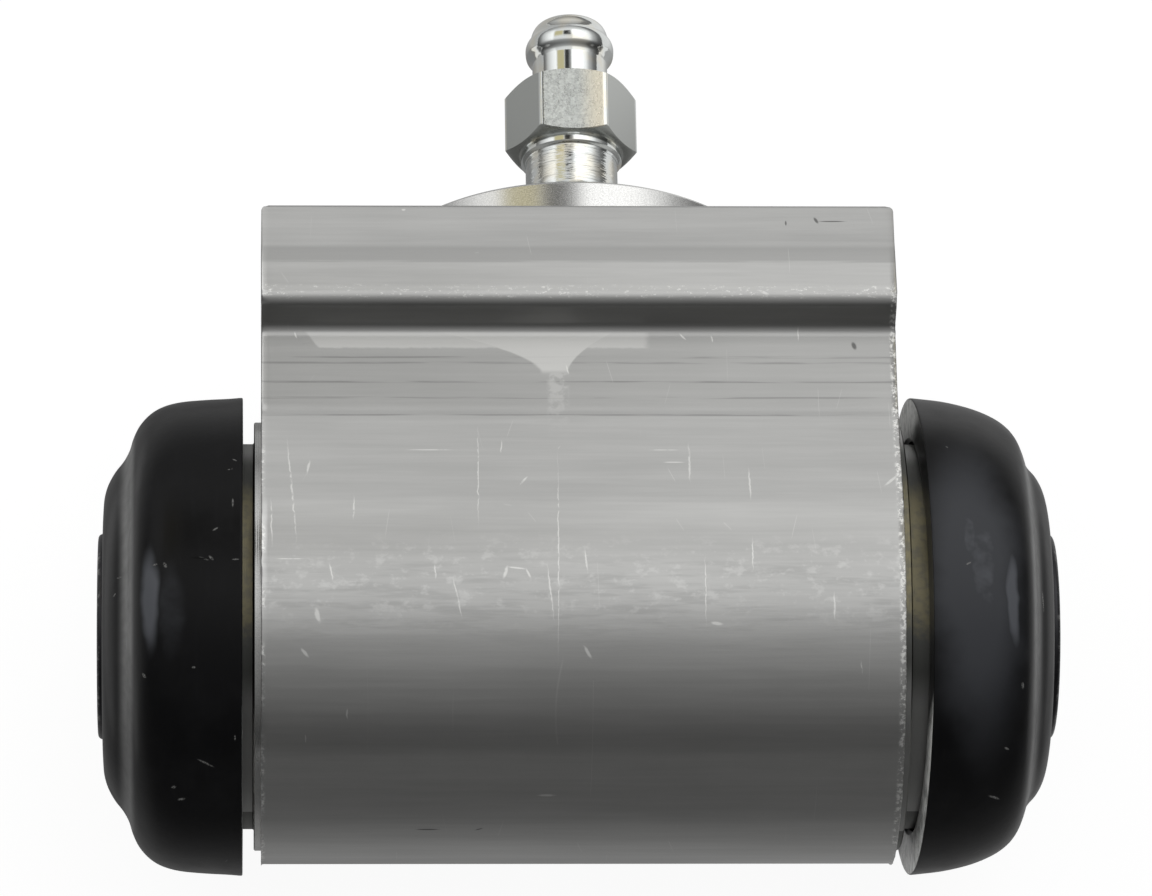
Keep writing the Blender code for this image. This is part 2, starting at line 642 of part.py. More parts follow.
def bleeder_section():
    """The turned form of the bleeder without its hexagon, from its tip to its top."""
    hex_middle = (BLEEDER_HEX_HEIGHT + BLEEDER_HEX_TOP) / 2
    collar = BLEEDER_HEX_HEIGHT - BLEEDER_COLLAR_THICKNESS
    return [
        (BLEEDER_TIP_HEIGHT, 0),
        (BLEEDER_TIP_HEIGHT, BLEEDER_BORE_RADIUS),
        (BLEEDER_CONE_FOOT, BLEEDER_TIP_RADIUS),
        (BLEEDER_SHANK_FOOT, BLEEDER_TIP_RADIUS),
        (BLEEDER_SHANK_FOOT + BLEEDER_TIP_STEP, BLEEDER_THREAD_RADIUS),
        (collar, BLEEDER_THREAD_RADIUS),
        (collar, BLEEDER_COLLAR_RADIUS),
        (hex_middle, BLEEDER_COLLAR_RADIUS),
        (hex_middle, BLEEDER_STEM_RADIUS),
        (BLEEDER_STEM_TOP, BLEEDER_STEM_RADIUS),
        (BLEEDER_BELLY_HEIGHT, BLEEDER_BEAD_RADIUS),
        (BLEEDER_NOSE_HEIGHT, BLEEDER_NOSE_RADIUS),
        (BLEEDER_TOP, BLEEDER_TOP_RADIUS),
        (BLEEDER_TOP, 0),
    ]


def make_bleeder_hexagon(guide):
    """A hexagon whose corners are taken off by a cone at both ends."""
    corner_radius = BLEEDER_HEX_ACROSS_FLATS / 2 / math.cos(math.pi / HEX_SIDES)
    outline = []
    for side in range(HEX_SIDES):
        angle = math.tau * side / HEX_SIDES + BLEEDER_HEX_TURN
        outline.append((corner_radius * math.cos(angle), corner_radius * math.sin(angle)))
    hexagon = extruded("bleeder_hexagon", outline, BLEEDER_HEX_HEIGHT, BLEEDER_HEX_TOP, guide)
    flat_radius = BLEEDER_HEX_ACROSS_FLATS / 2
    spread = 2 * (corner_radius - flat_radius)
    drop = spread * math.tan(BLEEDER_HEX_CHAMFER_ANGLE)
    cone_section = [
        (BLEEDER_HEX_HEIGHT - RUNNING_GAP, 0),
        (BLEEDER_HEX_HEIGHT - RUNNING_GAP, flat_radius),
        (BLEEDER_HEX_HEIGHT + drop, flat_radius + spread),
        (BLEEDER_HEX_TOP - drop, flat_radius + spread),
        (BLEEDER_HEX_TOP + RUNNING_GAP, flat_radius),
        (BLEEDER_HEX_TOP + RUNNING_GAP, 0),
    ]
    cones = turned("bleeder_hexagon_cones", cone_section, SMALL_SEGMENTS, guide)
    place_in_face(hexagon, 0, 0, PORT_OFFSET)
    place_in_face(cones, 0, 0, PORT_OFFSET)
    combine(hexagon, cones, "INTERSECT")
    return hexagon


def make_bleeder_screw(material, guide):
    screw = turned("bleeder_screw", bleeder_section(), SMALL_SEGMENTS, material)
    place_in_face(screw, 0, 0, PORT_OFFSET)
    combine(screw, make_bleeder_hexagon(guide), "UNION")

    cross_height = (BLEEDER_CONE_FOOT + BLEEDER_SHANK_FOOT) / 2
    way_section = [
        (cross_height, 0),
        (cross_height, BLEEDER_BORE_RADIUS),
        (BLEEDER_TOP + RUNNING_GAP, BLEEDER_BORE_RADIUS),
        (BLEEDER_TOP + RUNNING_GAP, 0),
    ]
    way = turned("bleeder_way", way_section, HOLE_SEGMENTS, guide)
    place_in_face(way, 0, 0, PORT_OFFSET)
    combine(screw, way, "DIFFERENCE")

    reach = BLEEDER_THREAD_RADIUS
    cross_section = [
        (-reach, 0),
        (-reach, BLEEDER_CROSS_RADIUS),
        (reach, BLEEDER_CROSS_RADIUS),
        (reach, 0),
    ]
    cross = turned("bleeder_cross_hole", cross_section, HOLE_SEGMENTS, guide)
    cross.location = (0, cross_height, PORT_OFFSET)
    cross.rotation_euler = (0, math.radians(90), 0)
    combine(screw, cross, "DIFFERENCE")


def main():
    for obj in list(bpy.data.objects):
        bpy.data.objects.remove(obj, do_unlink=True)
    aluminium = make_material("extruded_aluminium", (0.62, 0.62, 0.60), 0.38, 1.0)
    dark_alloy = make_material("dark_anodised_alloy", (0.03, 0.03, 0.032), 0.45, 0.6)
    rubber = make_material("boot_rubber", (0.012, 0.012, 0.013), 0.5, 0.0)
    seal_rubber = make_material("seal_rubber", (0.02, 0.02, 0.02), 0.6, 0.0)
    zinc_steel = make_material("zinc_plated_steel", (0.66, 0.68, 0.68), 0.25, 1.0)
    spring_steel = make_material("spring_steel", (0.42, 0.42, 0.43), 0.3, 1.0)
    guide = make_material("guide", (1.0, 0.5, 0.1), 0.5, 0.0)

    make_housing(aluminium, guide)
    make_return_spring(spring_steel)
    for side in FACING:
        make_piston(side, dark_alloy, guide)
        make_cup_seal(side, seal_rubber)
        make_cup_expander(side, zinc_steel)
        make_dust_boot(side, rubber)
    make_bleeder_screw(zinc_steel, guide)


main()
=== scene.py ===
"""Looks of a drum-brake wheel cylinder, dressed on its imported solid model.

The housing, boots, pistons and bleeder are made again with the fine edges, threads and
marks that the solids leave out. The parts inside the bore keep their solids.

Everything is in metres in the part's own frame: +X runs along the bore, +Y is the
outward normal of the mounting face and +Z is up as fitted. A section is a list of
(along, out) points, how far along a turned piece's axis and how far out from it.
"""

import math

import bmesh
import bpy
from bpy.props import FloatProperty, FloatVectorProperty, PointerProperty
from mathutils import Matrix, Vector, noise


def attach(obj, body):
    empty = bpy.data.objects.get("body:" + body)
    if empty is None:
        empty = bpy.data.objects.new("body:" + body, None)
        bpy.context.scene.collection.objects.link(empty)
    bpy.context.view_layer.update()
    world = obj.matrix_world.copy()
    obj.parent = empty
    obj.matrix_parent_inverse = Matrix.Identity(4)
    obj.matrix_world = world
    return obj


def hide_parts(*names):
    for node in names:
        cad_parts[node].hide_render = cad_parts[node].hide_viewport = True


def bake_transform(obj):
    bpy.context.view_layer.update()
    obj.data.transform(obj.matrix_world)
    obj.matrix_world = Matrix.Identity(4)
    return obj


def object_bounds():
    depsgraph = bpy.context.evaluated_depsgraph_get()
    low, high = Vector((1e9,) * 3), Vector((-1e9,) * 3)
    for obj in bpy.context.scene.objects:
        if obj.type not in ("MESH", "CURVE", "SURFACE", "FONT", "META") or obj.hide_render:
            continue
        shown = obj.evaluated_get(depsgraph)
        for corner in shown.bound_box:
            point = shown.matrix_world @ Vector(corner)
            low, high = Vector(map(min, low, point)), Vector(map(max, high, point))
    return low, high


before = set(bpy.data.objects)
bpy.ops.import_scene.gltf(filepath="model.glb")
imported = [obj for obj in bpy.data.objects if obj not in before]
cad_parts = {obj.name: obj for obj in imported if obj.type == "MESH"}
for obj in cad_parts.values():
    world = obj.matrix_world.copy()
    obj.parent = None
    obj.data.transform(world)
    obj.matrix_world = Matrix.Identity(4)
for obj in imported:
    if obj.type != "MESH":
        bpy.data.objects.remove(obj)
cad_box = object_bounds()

bl_info = {
    "name": "Wheel Cylinder Looks",
    "version": (1, 0, 0),
    "blender": (4, 5, 0),
    "location": "View3D > Sidebar > Wheel Cylinder",
    "description": "Dresses a wheel cylinder's solid model and sets its studio",
    "category": "Object",
}

MM = 0.001
FACING = {"left": -1, "right": 1}
SHARP_ANGLE = math.radians(32)
WHITE = (1.0, 1.0, 1.0, 1.0)

# Extruded housing, seen along the bore: the solid's section with finer corners
BORE_RADIUS = 12.7 * MM
BARREL_RADIUS = 19.5 * MM
FLANK_ANGLE = math.radians(12)
MOUNT_HEIGHT = 32.0 * MM
SHOULDER = (12.6 * MM, 17.26 * MM)
WAIST_HALF_WIDTH = 17.1 * MM
FLANGE_HALF_WIDTH = 20.2 * MM
FACE_HALF_WIDTH = 18.75 * MM
FLANGE_FOOT = 22.05 * MM
FLANGE_ROOT = 20.86 * MM
TAPER_BEND = (27.9 * MM, 19.6 * MM)
TAPER_FOOT = 25.9 * MM
SHOULDER_COVE = 5.0 * MM
FACE_EDGE = 0.4 * MM
FLANGE_EDGE = 1.4 * MM
FLANGE_CORNER = 1.15 * MM
# Rounding of the mounting face at its sawn ends
FACE_CORNER = 0.75 * MM
BODY_HALF_LENGTH = 26.997 * MM
BORE_AXIS_Y = -MOUNT_HEIGHT

# Turned ends, spigot and ports
COLLAR_STATION = 27.647 * MM
COLLAR_RADIUS = 18.35 * MM
NECK_STATION = 35.997 * MM
NECK_RADIUS = 16.5 * MM
NECK_GROOVE = (29.997 * MM, 32.597 * MM)
NECK_GROOVE_RADIUS = 15.7 * MM
SPIGOT_RADIUS = 17.5 * MM
SPIGOT_HEIGHT = 3.1 * MM
BOLT_STATION = 22.247 * MM
BOLT_RADIUS = 3.0 * MM
BOLT_DEPTH = 12.0 * MM
PORT_OFFSET = 7.5 * MM
PORT_DRILL_RADIUS = 1.5 * MM
PORT_DRILL_END = 27.0 * MM
INLET_RADIUS = 5.0 * MM
INLET_DEPTH = 12.0 * MM
BLEEDER_PORT_RADIUS = 4.15 * MM
BLEEDER_PORT_DEPTH = 9.57 * MM
FINE_PITCH = 1.0 * MM
COUNTERSINK = 0.5 * MM
BOLT_CREST_RADIUS = 2.46 * MM
INLET_CREST_RADIUS = 4.45 * MM
NECK_CHAMFER = 0.1 * MM
SPIGOT_CHAMFER = 0.3 * MM
# The saw's burrs: how many noise cells each millimetre of edge holds
BURR_SCALE = 1.9
# The saw's arcs: their centre in y and z, in millimetres
SAW_CENTRE = (-60, -45)
# How fine the marks of the saw and of the lathe are, in radians for each millimetre
SAW_ARCS = 9.0
NECK_RINGS = 40.0
PISTON_RINGS = 34.0

# Pistons and boots, as stations along the bore from the middle
PISTON_INNER = 13.697 * MM
PISTON_SHOULDER = 36.597 * MM
PISTON_HEAD = 39.297 * MM
PISTON_FACE = 40.947 * MM
PISTON_RADIUS = 12.6 * MM
PISTON_HEAD_RADIUS = 8.8 * MM
PISTON_GROOVE_RADIUS = 7.3 * MM
PISTON_EDGE = 0.4 * MM
SHOE_SLOT_WIDTH = 6.5 * MM
SHOE_SLOT_LENGTH = 12.0 * MM
SHOE_SLOT_DEPTH = 7.0 * MM
BOOT_RIM = 28.597 * MM
BOOT_BORE_RADIUS = 16.8 * MM
BOOT_FRONT = 40.497 * MM
BOOT_CLEARANCE = 0.3 * MM
BOOT_EDGE_RADIUS = 20.52 * MM
# How far along a boot its front begins, as a share of its length
BOOT_FRONT_START = 0.7
BOOT_LEAN_AXIS = (-0.9, -0.434)
BOOT_PROFILE = (
    (28.9, 20.50), (29.9, 20.42), (31.8, 20.32), (33.9, 20.12), (35.4, 19.72), (36.5, 19.08),
    (37.4, 18.10), (37.95, 17.00), (38.28, 15.95), (38.78, 15.02), (39.5, 14.10), (40.08, 13.05),
    (40.40, 12.00), (40.49, 10.90),
)

# Bleeder, heights measured from the mounting face
BLEEDER_TIP = -9.1 * MM
BLEEDER_SHANK_FOOT = -5.6 * MM
BLEEDER_THREAD_TOP = 0.9 * MM
BLEEDER_THREAD_RADIUS = 4.0 * MM
BLEEDER_PITCH = 1.25 * MM
BLEEDER_COLLAR_RADIUS = 4.4 * MM
BLEEDER_HEX_FOOT = 10.9 * MM
BLEEDER_HEX_TOP = 17.0 * MM
BLEEDER_FLAT_RADIUS = 5.0 * MM
BLEEDER_HEX_TURN = math.radians(1.1)
BLEEDER_HEX_CHAMFER = math.radians(28)
BLEEDER_HEX_ROUNDING = 0.15 * MM
BLEEDER_STEM_RADIUS = 3.25 * MM
BLEEDER_ROOT_RADIUS = 3.36 * MM
BLEEDER_BORE_RADIUS = 1.1 * MM
# Fine steps of the shank: height, and how much less than the thread's radius
BLEEDER_SHANK = ((4.5, 0.02), (4.7, 0.10), (4.9, 0.02), (6.2, 0.0), (6.35, 0.06), (6.5, 0.0))
BLEEDER_BEAD = (
    (19.75, 3.28), (20.15, 3.42), (20.55, 3.74), (20.95, 3.84), (21.45, 3.85), (21.85, 3.74),
    (22.20, 3.52), (22.55, 3.38), (22.95, 3.26), (23.35, 3.04), (23.62, 2.70), (23.79, 2.10),
)

# Faces round a full turn
BARREL_STEPS = 160
PORT_STEPS = 64
BOLT_STEPS = 48
BOOT_STEPS = 180
PISTON_STEPS = 144
BLEEDER_STEPS = 128
THREAD_STEPS = 28
# A thread's ridge: share of its height, and place along the pitch
THREAD_FORM = ((0, -0.46), (1, -0.07), (1, 0.07), (0, 0.46))
THREAD_SINK = 0.08

# Straight marks on the side that faces up: x and y of both ends, and width, in millimetres
SCRATCHES = (
    (-24.9, -21.3, -24, -33.4, 0.14), (-26.2, -28, -26.1, -33.3, 0.10),
    (-22.9, -24.3, -23.2, -25.8, 0.16), (-19.2, -28, -19.3, -30.5, 0.13), (-8.7, -20, -8.8, -31.8, 0.09),
    (-6.7, -22.2, -6.8, -23.5, 0.12), (-4.6, -26, -5.3, -26.9, 0.16), (-2, -22.2, -2.2, -43.8, 0.09),
    (-21.3, -34.5, -21, -36, 0.14), (-12.5, -34.6, -12.4, -35.8, 0.14), (-11, -35.6, -10.2, -39.2, 0.12),
    (-6.7, -35.7, -6.4, -34.8, 0.24), (-6.4, -34.8, -4.8, -35, 0.14), (-4.8, -35, -4.5, -35.7, 0.16),
    (-3.1, -34.3, -2.5, -39.5, 0.13), (-22.4, -38.4, -22.2, -39.2, 0.36),
    (-23.6, -41.4, -23.1, -41.9, 0.22), (-25.9, -34.1, -23.2, -34.1, 0.09),
    (-15.1, -23.2, -10.6, -23.2, 0.09), (9.1, -22.4, 9.1, -26.7, 0.17), (6.8, -24.5, 8.8, -24.5, 0.12),
    (14.1, -25, 14.2, -28.6, 0.14), (14.2, -32, 14.2, -35.3, 0.09), (0.1, -33.1, 0.3, -35.5, 0.12),
    (10.2, -33.4, 10.2, -40, 0.09), (10.7, -39.4, 11.5, -39.5, 0.24), (21, -36.9, 21, -39.2, 0.14),
    (23.2, -42.2, 23.3, -43.2, 0.10), (0, -41.2, 0.6, -42, 0.22), (25.6, -26.9, 26.6, -25.9, 0.24),
    (5.6, -23.2, 8.5, -23.2, 0.09), (-24.2, -11.55, -24, -12.05, 0.12),
    (-1.1, -14.65, -0.9, -15.45, 0.13), (8.6, -11.65, 9.1, -12.15, 0.14),
    (11.3, -11.85, 11.4, -12.35, 0.14), (18.7, -11.05, 18.7, -12.35, 0.09),
    (26.6, -15.35, 26.6, -16.05, 0.22), (15.2, -9.05, 16.1, -9.4, 0.24), (-14.9, -0.6, -14.8, -0.6, 0.19),
    (-23.3, -47.1, -23.3, -47.5, 0.10), (-19.8, -45.5, -19.8, -46.1, 0.12), (-3.8, -50.2, -2.1, -50.2, 0.08),
)
STAINS = (
    (20.4, -1.8, 23.1, -1.8, 0.12), (20.3, -1.5, 20.5, -1.9, 0.24), (17.8, -1.8, 17.8, -2.2, 0.14),
    (23.4, -12.6, 23.5, -12.9, 0.34), (-14.2, -51.33, -11.7, -51.33, 0.025), (-9.0, -51.35, -8.2, -51.3, 0.02),
)
# Nicks, specks and a dark cut on the boots, and soft patches of painted sheen
BOOT_NICKS = (
    (-29.1, -24.8, -29.4, -24.6, 0.10), (-29.9, -25.8, -29.4, -25.7, 0.07),
    (-29.4, -28.9, -29.4, -29.7, 0.14), (-31, -31.9, -30.7, -31.7, 0.15),
    (-32.2, -34.3, -31.4, -34.6, 0.12), (-31.3, -34.3, -31.1, -34.5, 0.19),
    (-29.4, -34.6, -28.9, -34.6, 0.12), (-35.1, -34.7, -35, -34.9, 0.22),
    (-36, -34.6, -35.8, -34.6, 0.15), (-39.1, -33.5, -38.8, -33.6, 0.11),
    (-39.4, -34.9, -39.3, -34.8, 0.12), (-36.9, -42.8, -36.7, -43.1, 0.16),
    (-32.7, -43, -32.6, -43, 0.14), (-29.2, -47.6, -29.2, -47.8, 0.12),
    (-32.4, -48.8, -30.9, -49.3, 0.09), (-34.5, -50.1, -34.2, -50.1, 0.11),
    (-34, -50.7, -33.4, -50.7, 0.09), (30.9, -22.9, 31, -23, 0.10), (32.1, -34.9, 32.4, -34.7, 0.14),
    (38.9, -34.6, 39, -36.4, 0.10), (36.9, -43.4, 36.9, -43.6, 0.19), (34.3, -50.3, 35.3, -50.2, 0.09),
    (35.5, -47.7, 35.8, -47.7, 0.11), (28.9, -31, 28.9, -31.3, 0.12),
)
BOOT_CUT = ((-33.0, -34.3, -31.4, -34.5, 0.16),)
BOOT_PAINTED_SHEEN = ((-36.4, -33.6, -36.2, -40.8, 1.3), (36.0, -33.2, 36.2, -41.2, 1.0))
BOOT_PAINTED_HAZE = (
    (-34.6, -35.6, -34.4, -40.8, 1.8), (33.4, -31.4, 33.8, -38.6, 2.3), (32.0, -30.8, 32.6, -34.4, 1.3),
)
BOOT_PAINTED_GLOW = ((32.4, -27.0, 33.2, -44.0, 7.0),)
# The sky's light, by the cosine of the angle from its brightest direction
SKY = (
    (-1.0, 0.09), (-0.86, 0.10), (-0.64, 0.15), (-0.43, 0.215), (-0.24, 0.275), (-0.02, 0.34),
    (0.14, 0.40), (0.25, 0.48), (0.36, 0.66), (0.48, 0.88), (0.62, 1.0), (1.0, 1.0),
)
# Lines left by the die along the waist, and painted shade along the creases at the flange's bend (-6.3) and
# the shoulder (-19.5): y and depth of tone
DIE_AND_CREASE_LINES = ((-13.9, 0.9), (-14.43, 0.8), (-16.25, 1.0), (-17.75, 0.8), (-6.3, 0.5), (-19.5, 0.9))
# Bands of y on the housing, in millimetres: where each starts, is full, fades and ends
# Painted shade in a band on the flange's side
FLANGE_SHADE_BAND = (-6.3, -6.1, -4.9, -4.2)
# Painted shade in the waist under the flange
WAIST_SHADE_BAND = (-19.7, -19.3, -11.2, -10.6)
# Painted shade in a streaky band across the barrel's front
BARREL_SHADE_BAND = (-43.0, -38.0, -35.5, -33.0)
SMUDGED_BAND = (-41.0, -37.0, -34.0, -31.0)
# Painted yellowish reflection along the necks' tops
NECK_REFLECTION_BAND = (-38.5, -35.5, -25.5, -22.5)
# A painted highlight in the valley round a boot, in millimetres out from the bore's axis
VALLEY_HIGHLIGHT = (14.4, 15.7, 16.7, 17.7)
# The studio's windows and the gap between them: degrees to either side of straight up, and
# reaches by a direction's y, each as where it starts, is full, fades and ends
WINDOW_REACH = (-0.35, -0.1, 0.6, 0.85)
RIGHT_WINDOW = (4, 8, 66, 78)
LEFT_WINDOW = (-82, -72, -44, -40)
WARM_STRIP = (-42, -38, -20, -17)
WINDOW_GAP = (-18, -15, 1, 4)
GAP_REACH = (0.24, 0.36, 0.54, 0.66)
FLOOR_GAP = 0.02 * MM
CARD_RISE = 0.1 * MM
KEY_SHAPE = 0.7


class Value:
    """A node's output. Arithmetic on it adds Math nodes to its own node tree."""

    def __init__(self, graph, socket):
        self.graph = graph
        self.socket = socket

    def math(self, operation, *others):
        return self.graph.math(operation, self, *others)

    def __add__(self, other):
        return self.math("ADD", other)

    __radd__ = __add__

    def __sub__(self, other):
        return self.math("SUBTRACT", other)

    def __rsub__(self, other):
        return self.graph.math("SUBTRACT", other, self)

    def __mul__(self, other):
        return self.math("MULTIPLY", other)

    __rmul__ = __mul__

    def __lt__(self, other):
        return self.math("LESS_THAN", other)

    def __gt__(self, other):
        return self.math("GREATER_THAN", other)

    def __abs__(self):
        return self.math("ABSOLUTE")

    def at_least(self, other):
        return self.math("MAXIMUM", other)

    def ramp(self, low, high):
        """0 up to low and 1 from high on, with a smooth rise, or the reverse if low is higher."""
        settings = {"interpolation_type": "SMOOTHSTEP"}
        if low < high:
            return self.graph.add("ShaderNodeMapRange", settings, {0: self, 1: low, 2: high})
        return 1 - self.graph.add("ShaderNodeMapRange", settings, {0: self, 1: high, 2: low})

    def between(self, start, full, fading, end):
        """1 from full to fading, with a smooth rise from start and a smooth fall to end."""
        return self.ramp(start, full) * self.ramp(end, fading)

    def hypot(self, other):
        """Square root of the sum of this value's square and another's."""
        return (self.math("POWER", 2.0) + other.math("POWER", 2.0)).math("SQRT")


class Graph:
    """The node tree of a material or the world."""

    def __init__(self, owner):
        owner.use_nodes = True
        self.tree = owner.node_tree
        self.tree.nodes.clear()

    def add(self, kind, settings=None, sockets=None, output=0):
        """Add a node, set it up, fill or link its sockets, and return one of its outputs."""
        node = self.tree.nodes.new(kind)
        for name, setting in (settings or {}).items():
            if name == "stops":
                self.set_stops(node.color_ramp, setting)
            else:
                setattr(node, name, setting)
        for name, value in (sockets or {}).items():
            if isinstance(value, Value):
                self.tree.links.new(value.socket, node.inputs[name])
            else:
                node.inputs[name].default_value = value
        return Value(self, node.outputs[output]) if len(node.outputs) else None

    def set_stops(self, ramp, stops):
        while len(ramp.elements) < len(stops):
            ramp.elements.new(1.0)
        for element, (position, level) in zip(ramp.elements, stops):
            element.position = position
            element.color = (level, level, level, 1)

    def math(self, operation, *values):
        return self.add("ShaderNodeMath", {"operation": operation}, dict(enumerate(values)))

    def vector(self, operation, first, second):
        return self.add("ShaderNodeVectorMath", {"operation": operation}, {0: first, 1: second})

    def parts(self, vector):
        """The three parts of a vector or a colour."""
        return [self.add("ShaderNodeSeparateXYZ", sockets={0: vector}, output=i) for i in range(3)]

    def mix(self, share, first, second):
        """The first colour where share is 0, and the second where it is 1."""
        return self.add("ShaderNodeMix", {"data_type": "RGBA"}, {0: share, 6: first, 7: second}, output=2)

    def layers(self, base, *coats):
        """Lay coats of colour over a base in turn, each a share and a colour."""
        for share, colour in coats:
            base = self.mix(share, base, colour)
        return base

    def place(self):
        """The place on the piece, in millimetres."""
        return self.vector("MULTIPLY", self.add("ShaderNodeTexCoord", output=3), (1 / MM,) * 3)

    def noise(self, vector, scale, detail, roughness, stretch=None):
        """Noise, drawn out along the axes whose stretch is under 1."""
        if stretch is not None:
            vector = self.vector("MULTIPLY", vector, stretch)
        return self.add("ShaderNodeTexNoise", sockets={
            "Vector": vector, "Scale": scale, "Detail": detail, "Roughness": roughness,
        })

    def cells(self, vector, scale, output=0):
        """Scattered cells: their distance, colour or place, by the output's number."""
        return self.add("ShaderNodeTexVoronoi", sockets={"Vector": vector, "Scale": scale}, output=output)

    def strokes(self, vector, scale, length, width, share):
        """Short straight marks in many directions, one in each cell that is picked."""
        dx, dy, dz = self.parts(self.vector("SUBTRACT", vector, self.cells(vector, scale, output=2)))
        pick, turn, fade = self.parts(self.cells(vector, scale, output=1))
        angle = turn * math.pi
        down = dy - dz
        along = dx * angle.math("COSINE") + down * angle.math("SINE")
        across = dx * angle.math("SINE") - down * angle.math("COSINE")
        line = abs(along).ramp(length, length * 0.5) * abs(across).ramp(width, width * 0.3)
        return line * (pick < share) * fade

    def straight_marks(self, x, y, marks):
        """Straight marks that taper to their ends, each from one point to another."""
        spot = self.add("ShaderNodeCombineXYZ", sockets={0: x, 1: y})
        found = None
        for x0, y0, x1, y1, width in marks:
            near = self.add("ShaderNodeMapping", {"vector_type": "TEXTURE"}, {
                "Vector": spot,
                "Location": ((x0 + x1) / 2, (y0 + y1) / 2, 0),
                "Rotation": (0, 0, math.atan2(y1 - y0, x1 - x0)),
                "Scale": (math.hypot(x1 - x0, y1 - y0) / 2 + width, width * 0.75, 1),
            })
            mark = self.add("ShaderNodeTexGradient", {"gradient_type": "SPHERICAL"}, {0: near}, output=1)
            found = mark if found is None else found.at_least(mark)
        return found.ramp(0.0, 0.6)

    def finish(self, base, roughness, height=None, depth=0.0, constants=None):
        """Close a material with a Principled shader and, where it has relief, a bump."""
        sockets = {"Base Color": base, "Roughness": roughness, **(constants or {})}
        if height is not None:
            sockets["Normal"] = self.add("ShaderNodeBump", sockets={"Height": height, "Distance": depth})
        self.close("ShaderNodeOutputMaterial", self.add("ShaderNodeBsdfPrincipled", sockets=sockets))

    def close(self, kind, shader):
        self.add(kind, sockets={"Surface": shader})


def shade(colour, gain=1.0):
    """A colour as a node's socket takes it, made brighter or darker by gain."""
    return (*(part * gain for part in colour), 1.0)


def new_material(name):
    material = bpy.data.materials.new(name)
    return material, Graph(material)


def arc(centre, radius, start, end, steps):
    """Points on an arc, from one angle to another, measured from the along axis."""
    points = []
    for step in range(steps + 1):
        angle = start + (end - start) * step / steps
        points.append((centre[0] + radius * math.cos(angle), centre[1] + radius * math.sin(angle)))
    return points


def rounded(before, corner, after, radius, steps):
    """Points of the arc that rounds a corner of an outline, hollow or proud."""
    corner = Vector(corner)
    to_before = (Vector(before) - corner).normalized()
    to_after = (Vector(after) - corner).normalized()
    half_angle = to_before.angle(to_after) / 2
    centre = corner + (to_before + to_after).normalized() * (radius / math.sin(half_angle))
    first = corner + to_before * (radius / math.tan(half_angle)) - centre
    last = corner + to_after * (radius / math.tan(half_angle)) - centre
    turn = first.angle_signed(last)
    points = []
    for step in range(steps + 1):
        angle = -turn * step / steps
        cosine, sine = math.cos(angle), math.sin(angle)
        points.append((
            centre.x + first.x * cosine - first.y * sine,
            centre.y + first.x * sine + first.y * cosine,
        ))
    return points


def cove(wall, end, radius, steps):
    """Points of a hollow curve that leaves an upright wall and flares out to its end."""
    sweep = math.acos((radius - (end[1] - wall)) / radius)
    top = end[0] + radius * math.sin(sweep)
    points = []
    for step in range(steps + 1):
        angle = sweep * step / steps
        points.append((top - radius * math.sin(angle), wall + radius * (1 - math.cos(angle))))
    return points


def smooth_through(points, steps):
    """A smooth line through measured points, which are in millimetres."""
    points = [Vector(point) * MM for point in points]
    ends = [points[0] * 2 - points[1], *points, points[-1] * 2 - points[-2]]
    line = []
    for before, first, second, after in zip(ends, ends[1:], ends[2:], ends[3:]):
        for step in range(steps):
            t = step / steps
            bend = (first - second) * 3 + after - before
            slope = before * 2 - first * 5 + second * 4 - after
            line.append(tuple(first + ((second - before) * t + slope * t**2 + bend * t**3) / 2))
    return [*line, tuple(points[-1])]


def along_bore(side):
    """Stands a piece on the bore's axis, with its Z axis out of the named end."""
    turn = Matrix.Rotation(math.radians(90) * FACING[side], 4, "Y")
    return Matrix.Translation((0, BORE_AXIS_Y, 0)) @ turn


def in_face(x, y, z):
    """Stands a piece in the mounting face, with its Z axis pointing out of that face."""
    return Matrix.Translation((x, y, z)) @ Matrix.Rotation(math.radians(-90), 4, "X")


def skin(rings, closed=False):
    """A bmesh whose rings of points, or single points, are joined by faces in turn."""
    bm = bmesh.new()
    loops = []
    count = max(len(ring) for ring in rings)
    for ring in rings:
        verts = [bm.verts.new(point) for point in ring]
        loops.append(verts * count if len(verts) == 1 else verts)
    pairs = list(zip(loops, loops[1:]))
    if closed:
        pairs.append((loops[-1], loops[0]))
    for first, second in pairs:
        for i in range(count):
            j = (i + 1) % count
            corners = dict.fromkeys((first[i], first[j], second[j], second[i]))
            bm.faces.new(corners)
    return bm, loops


def turned(section, segments):
    """Revolve a section about the Z axis: a solid, or a ring if it clears the axis."""
    rings = []
    for along, out in section:
        angles = [math.tau * i / segments for i in range(segments if out > 0 else 1)]
        rings.append([(out * math.cos(angle), out * math.sin(angle), along) for angle in angles])
    return skin(rings, closed=section[0][1] > 0)[0]


def prism(outline, start, end):
    """Extrude an outline of (x, y) points along the Z axis."""
    bm, loops = skin([[(x, y, z) for x, y in outline] for z in (start, end)])
    for loop in loops:
        bm.faces.new(loop)
    return bm


def coil(radius, crest, pitch, start, end):
    """A thread's ridge, wound from one height to another, with its roots sunk in the wall."""
    sink = (radius - crest) * THREAD_SINK
    count = int((end - start) / pitch * THREAD_STEPS)
    rings = []
    for i in range(count + 1):
        angle = math.tau * i / THREAD_STEPS
        height = start + pitch * i / THREAD_STEPS
        ease = min(1.0, i / THREAD_STEPS, (count - i) / THREAD_STEPS)
        ring = []
        for ridge, rise in THREAD_FORM:
            out = radius + ((crest - radius) * ease if ridge else sink)
            ring.append((out * math.cos(angle), out * math.sin(angle), height + rise * pitch))
        rings.append(ring)
    bm, loops = skin(rings)
    bm.faces.new(loops[0])
    bm.faces.new(loops[-1])
    return bm


def make_object(name, bm, place=None):
    """Turn a bmesh into a linked object in the part's frame."""
    if place is not None:
        bm.transform(place)
    bmesh.ops.recalc_face_normals(bm, faces=bm.faces)
    mesh = bpy.data.meshes.new(name)
    bm.to_mesh(mesh)
    bm.free()
    obj = bpy.data.objects.new(name, mesh)
    bpy.context.scene.collection.objects.link(obj)
    return obj


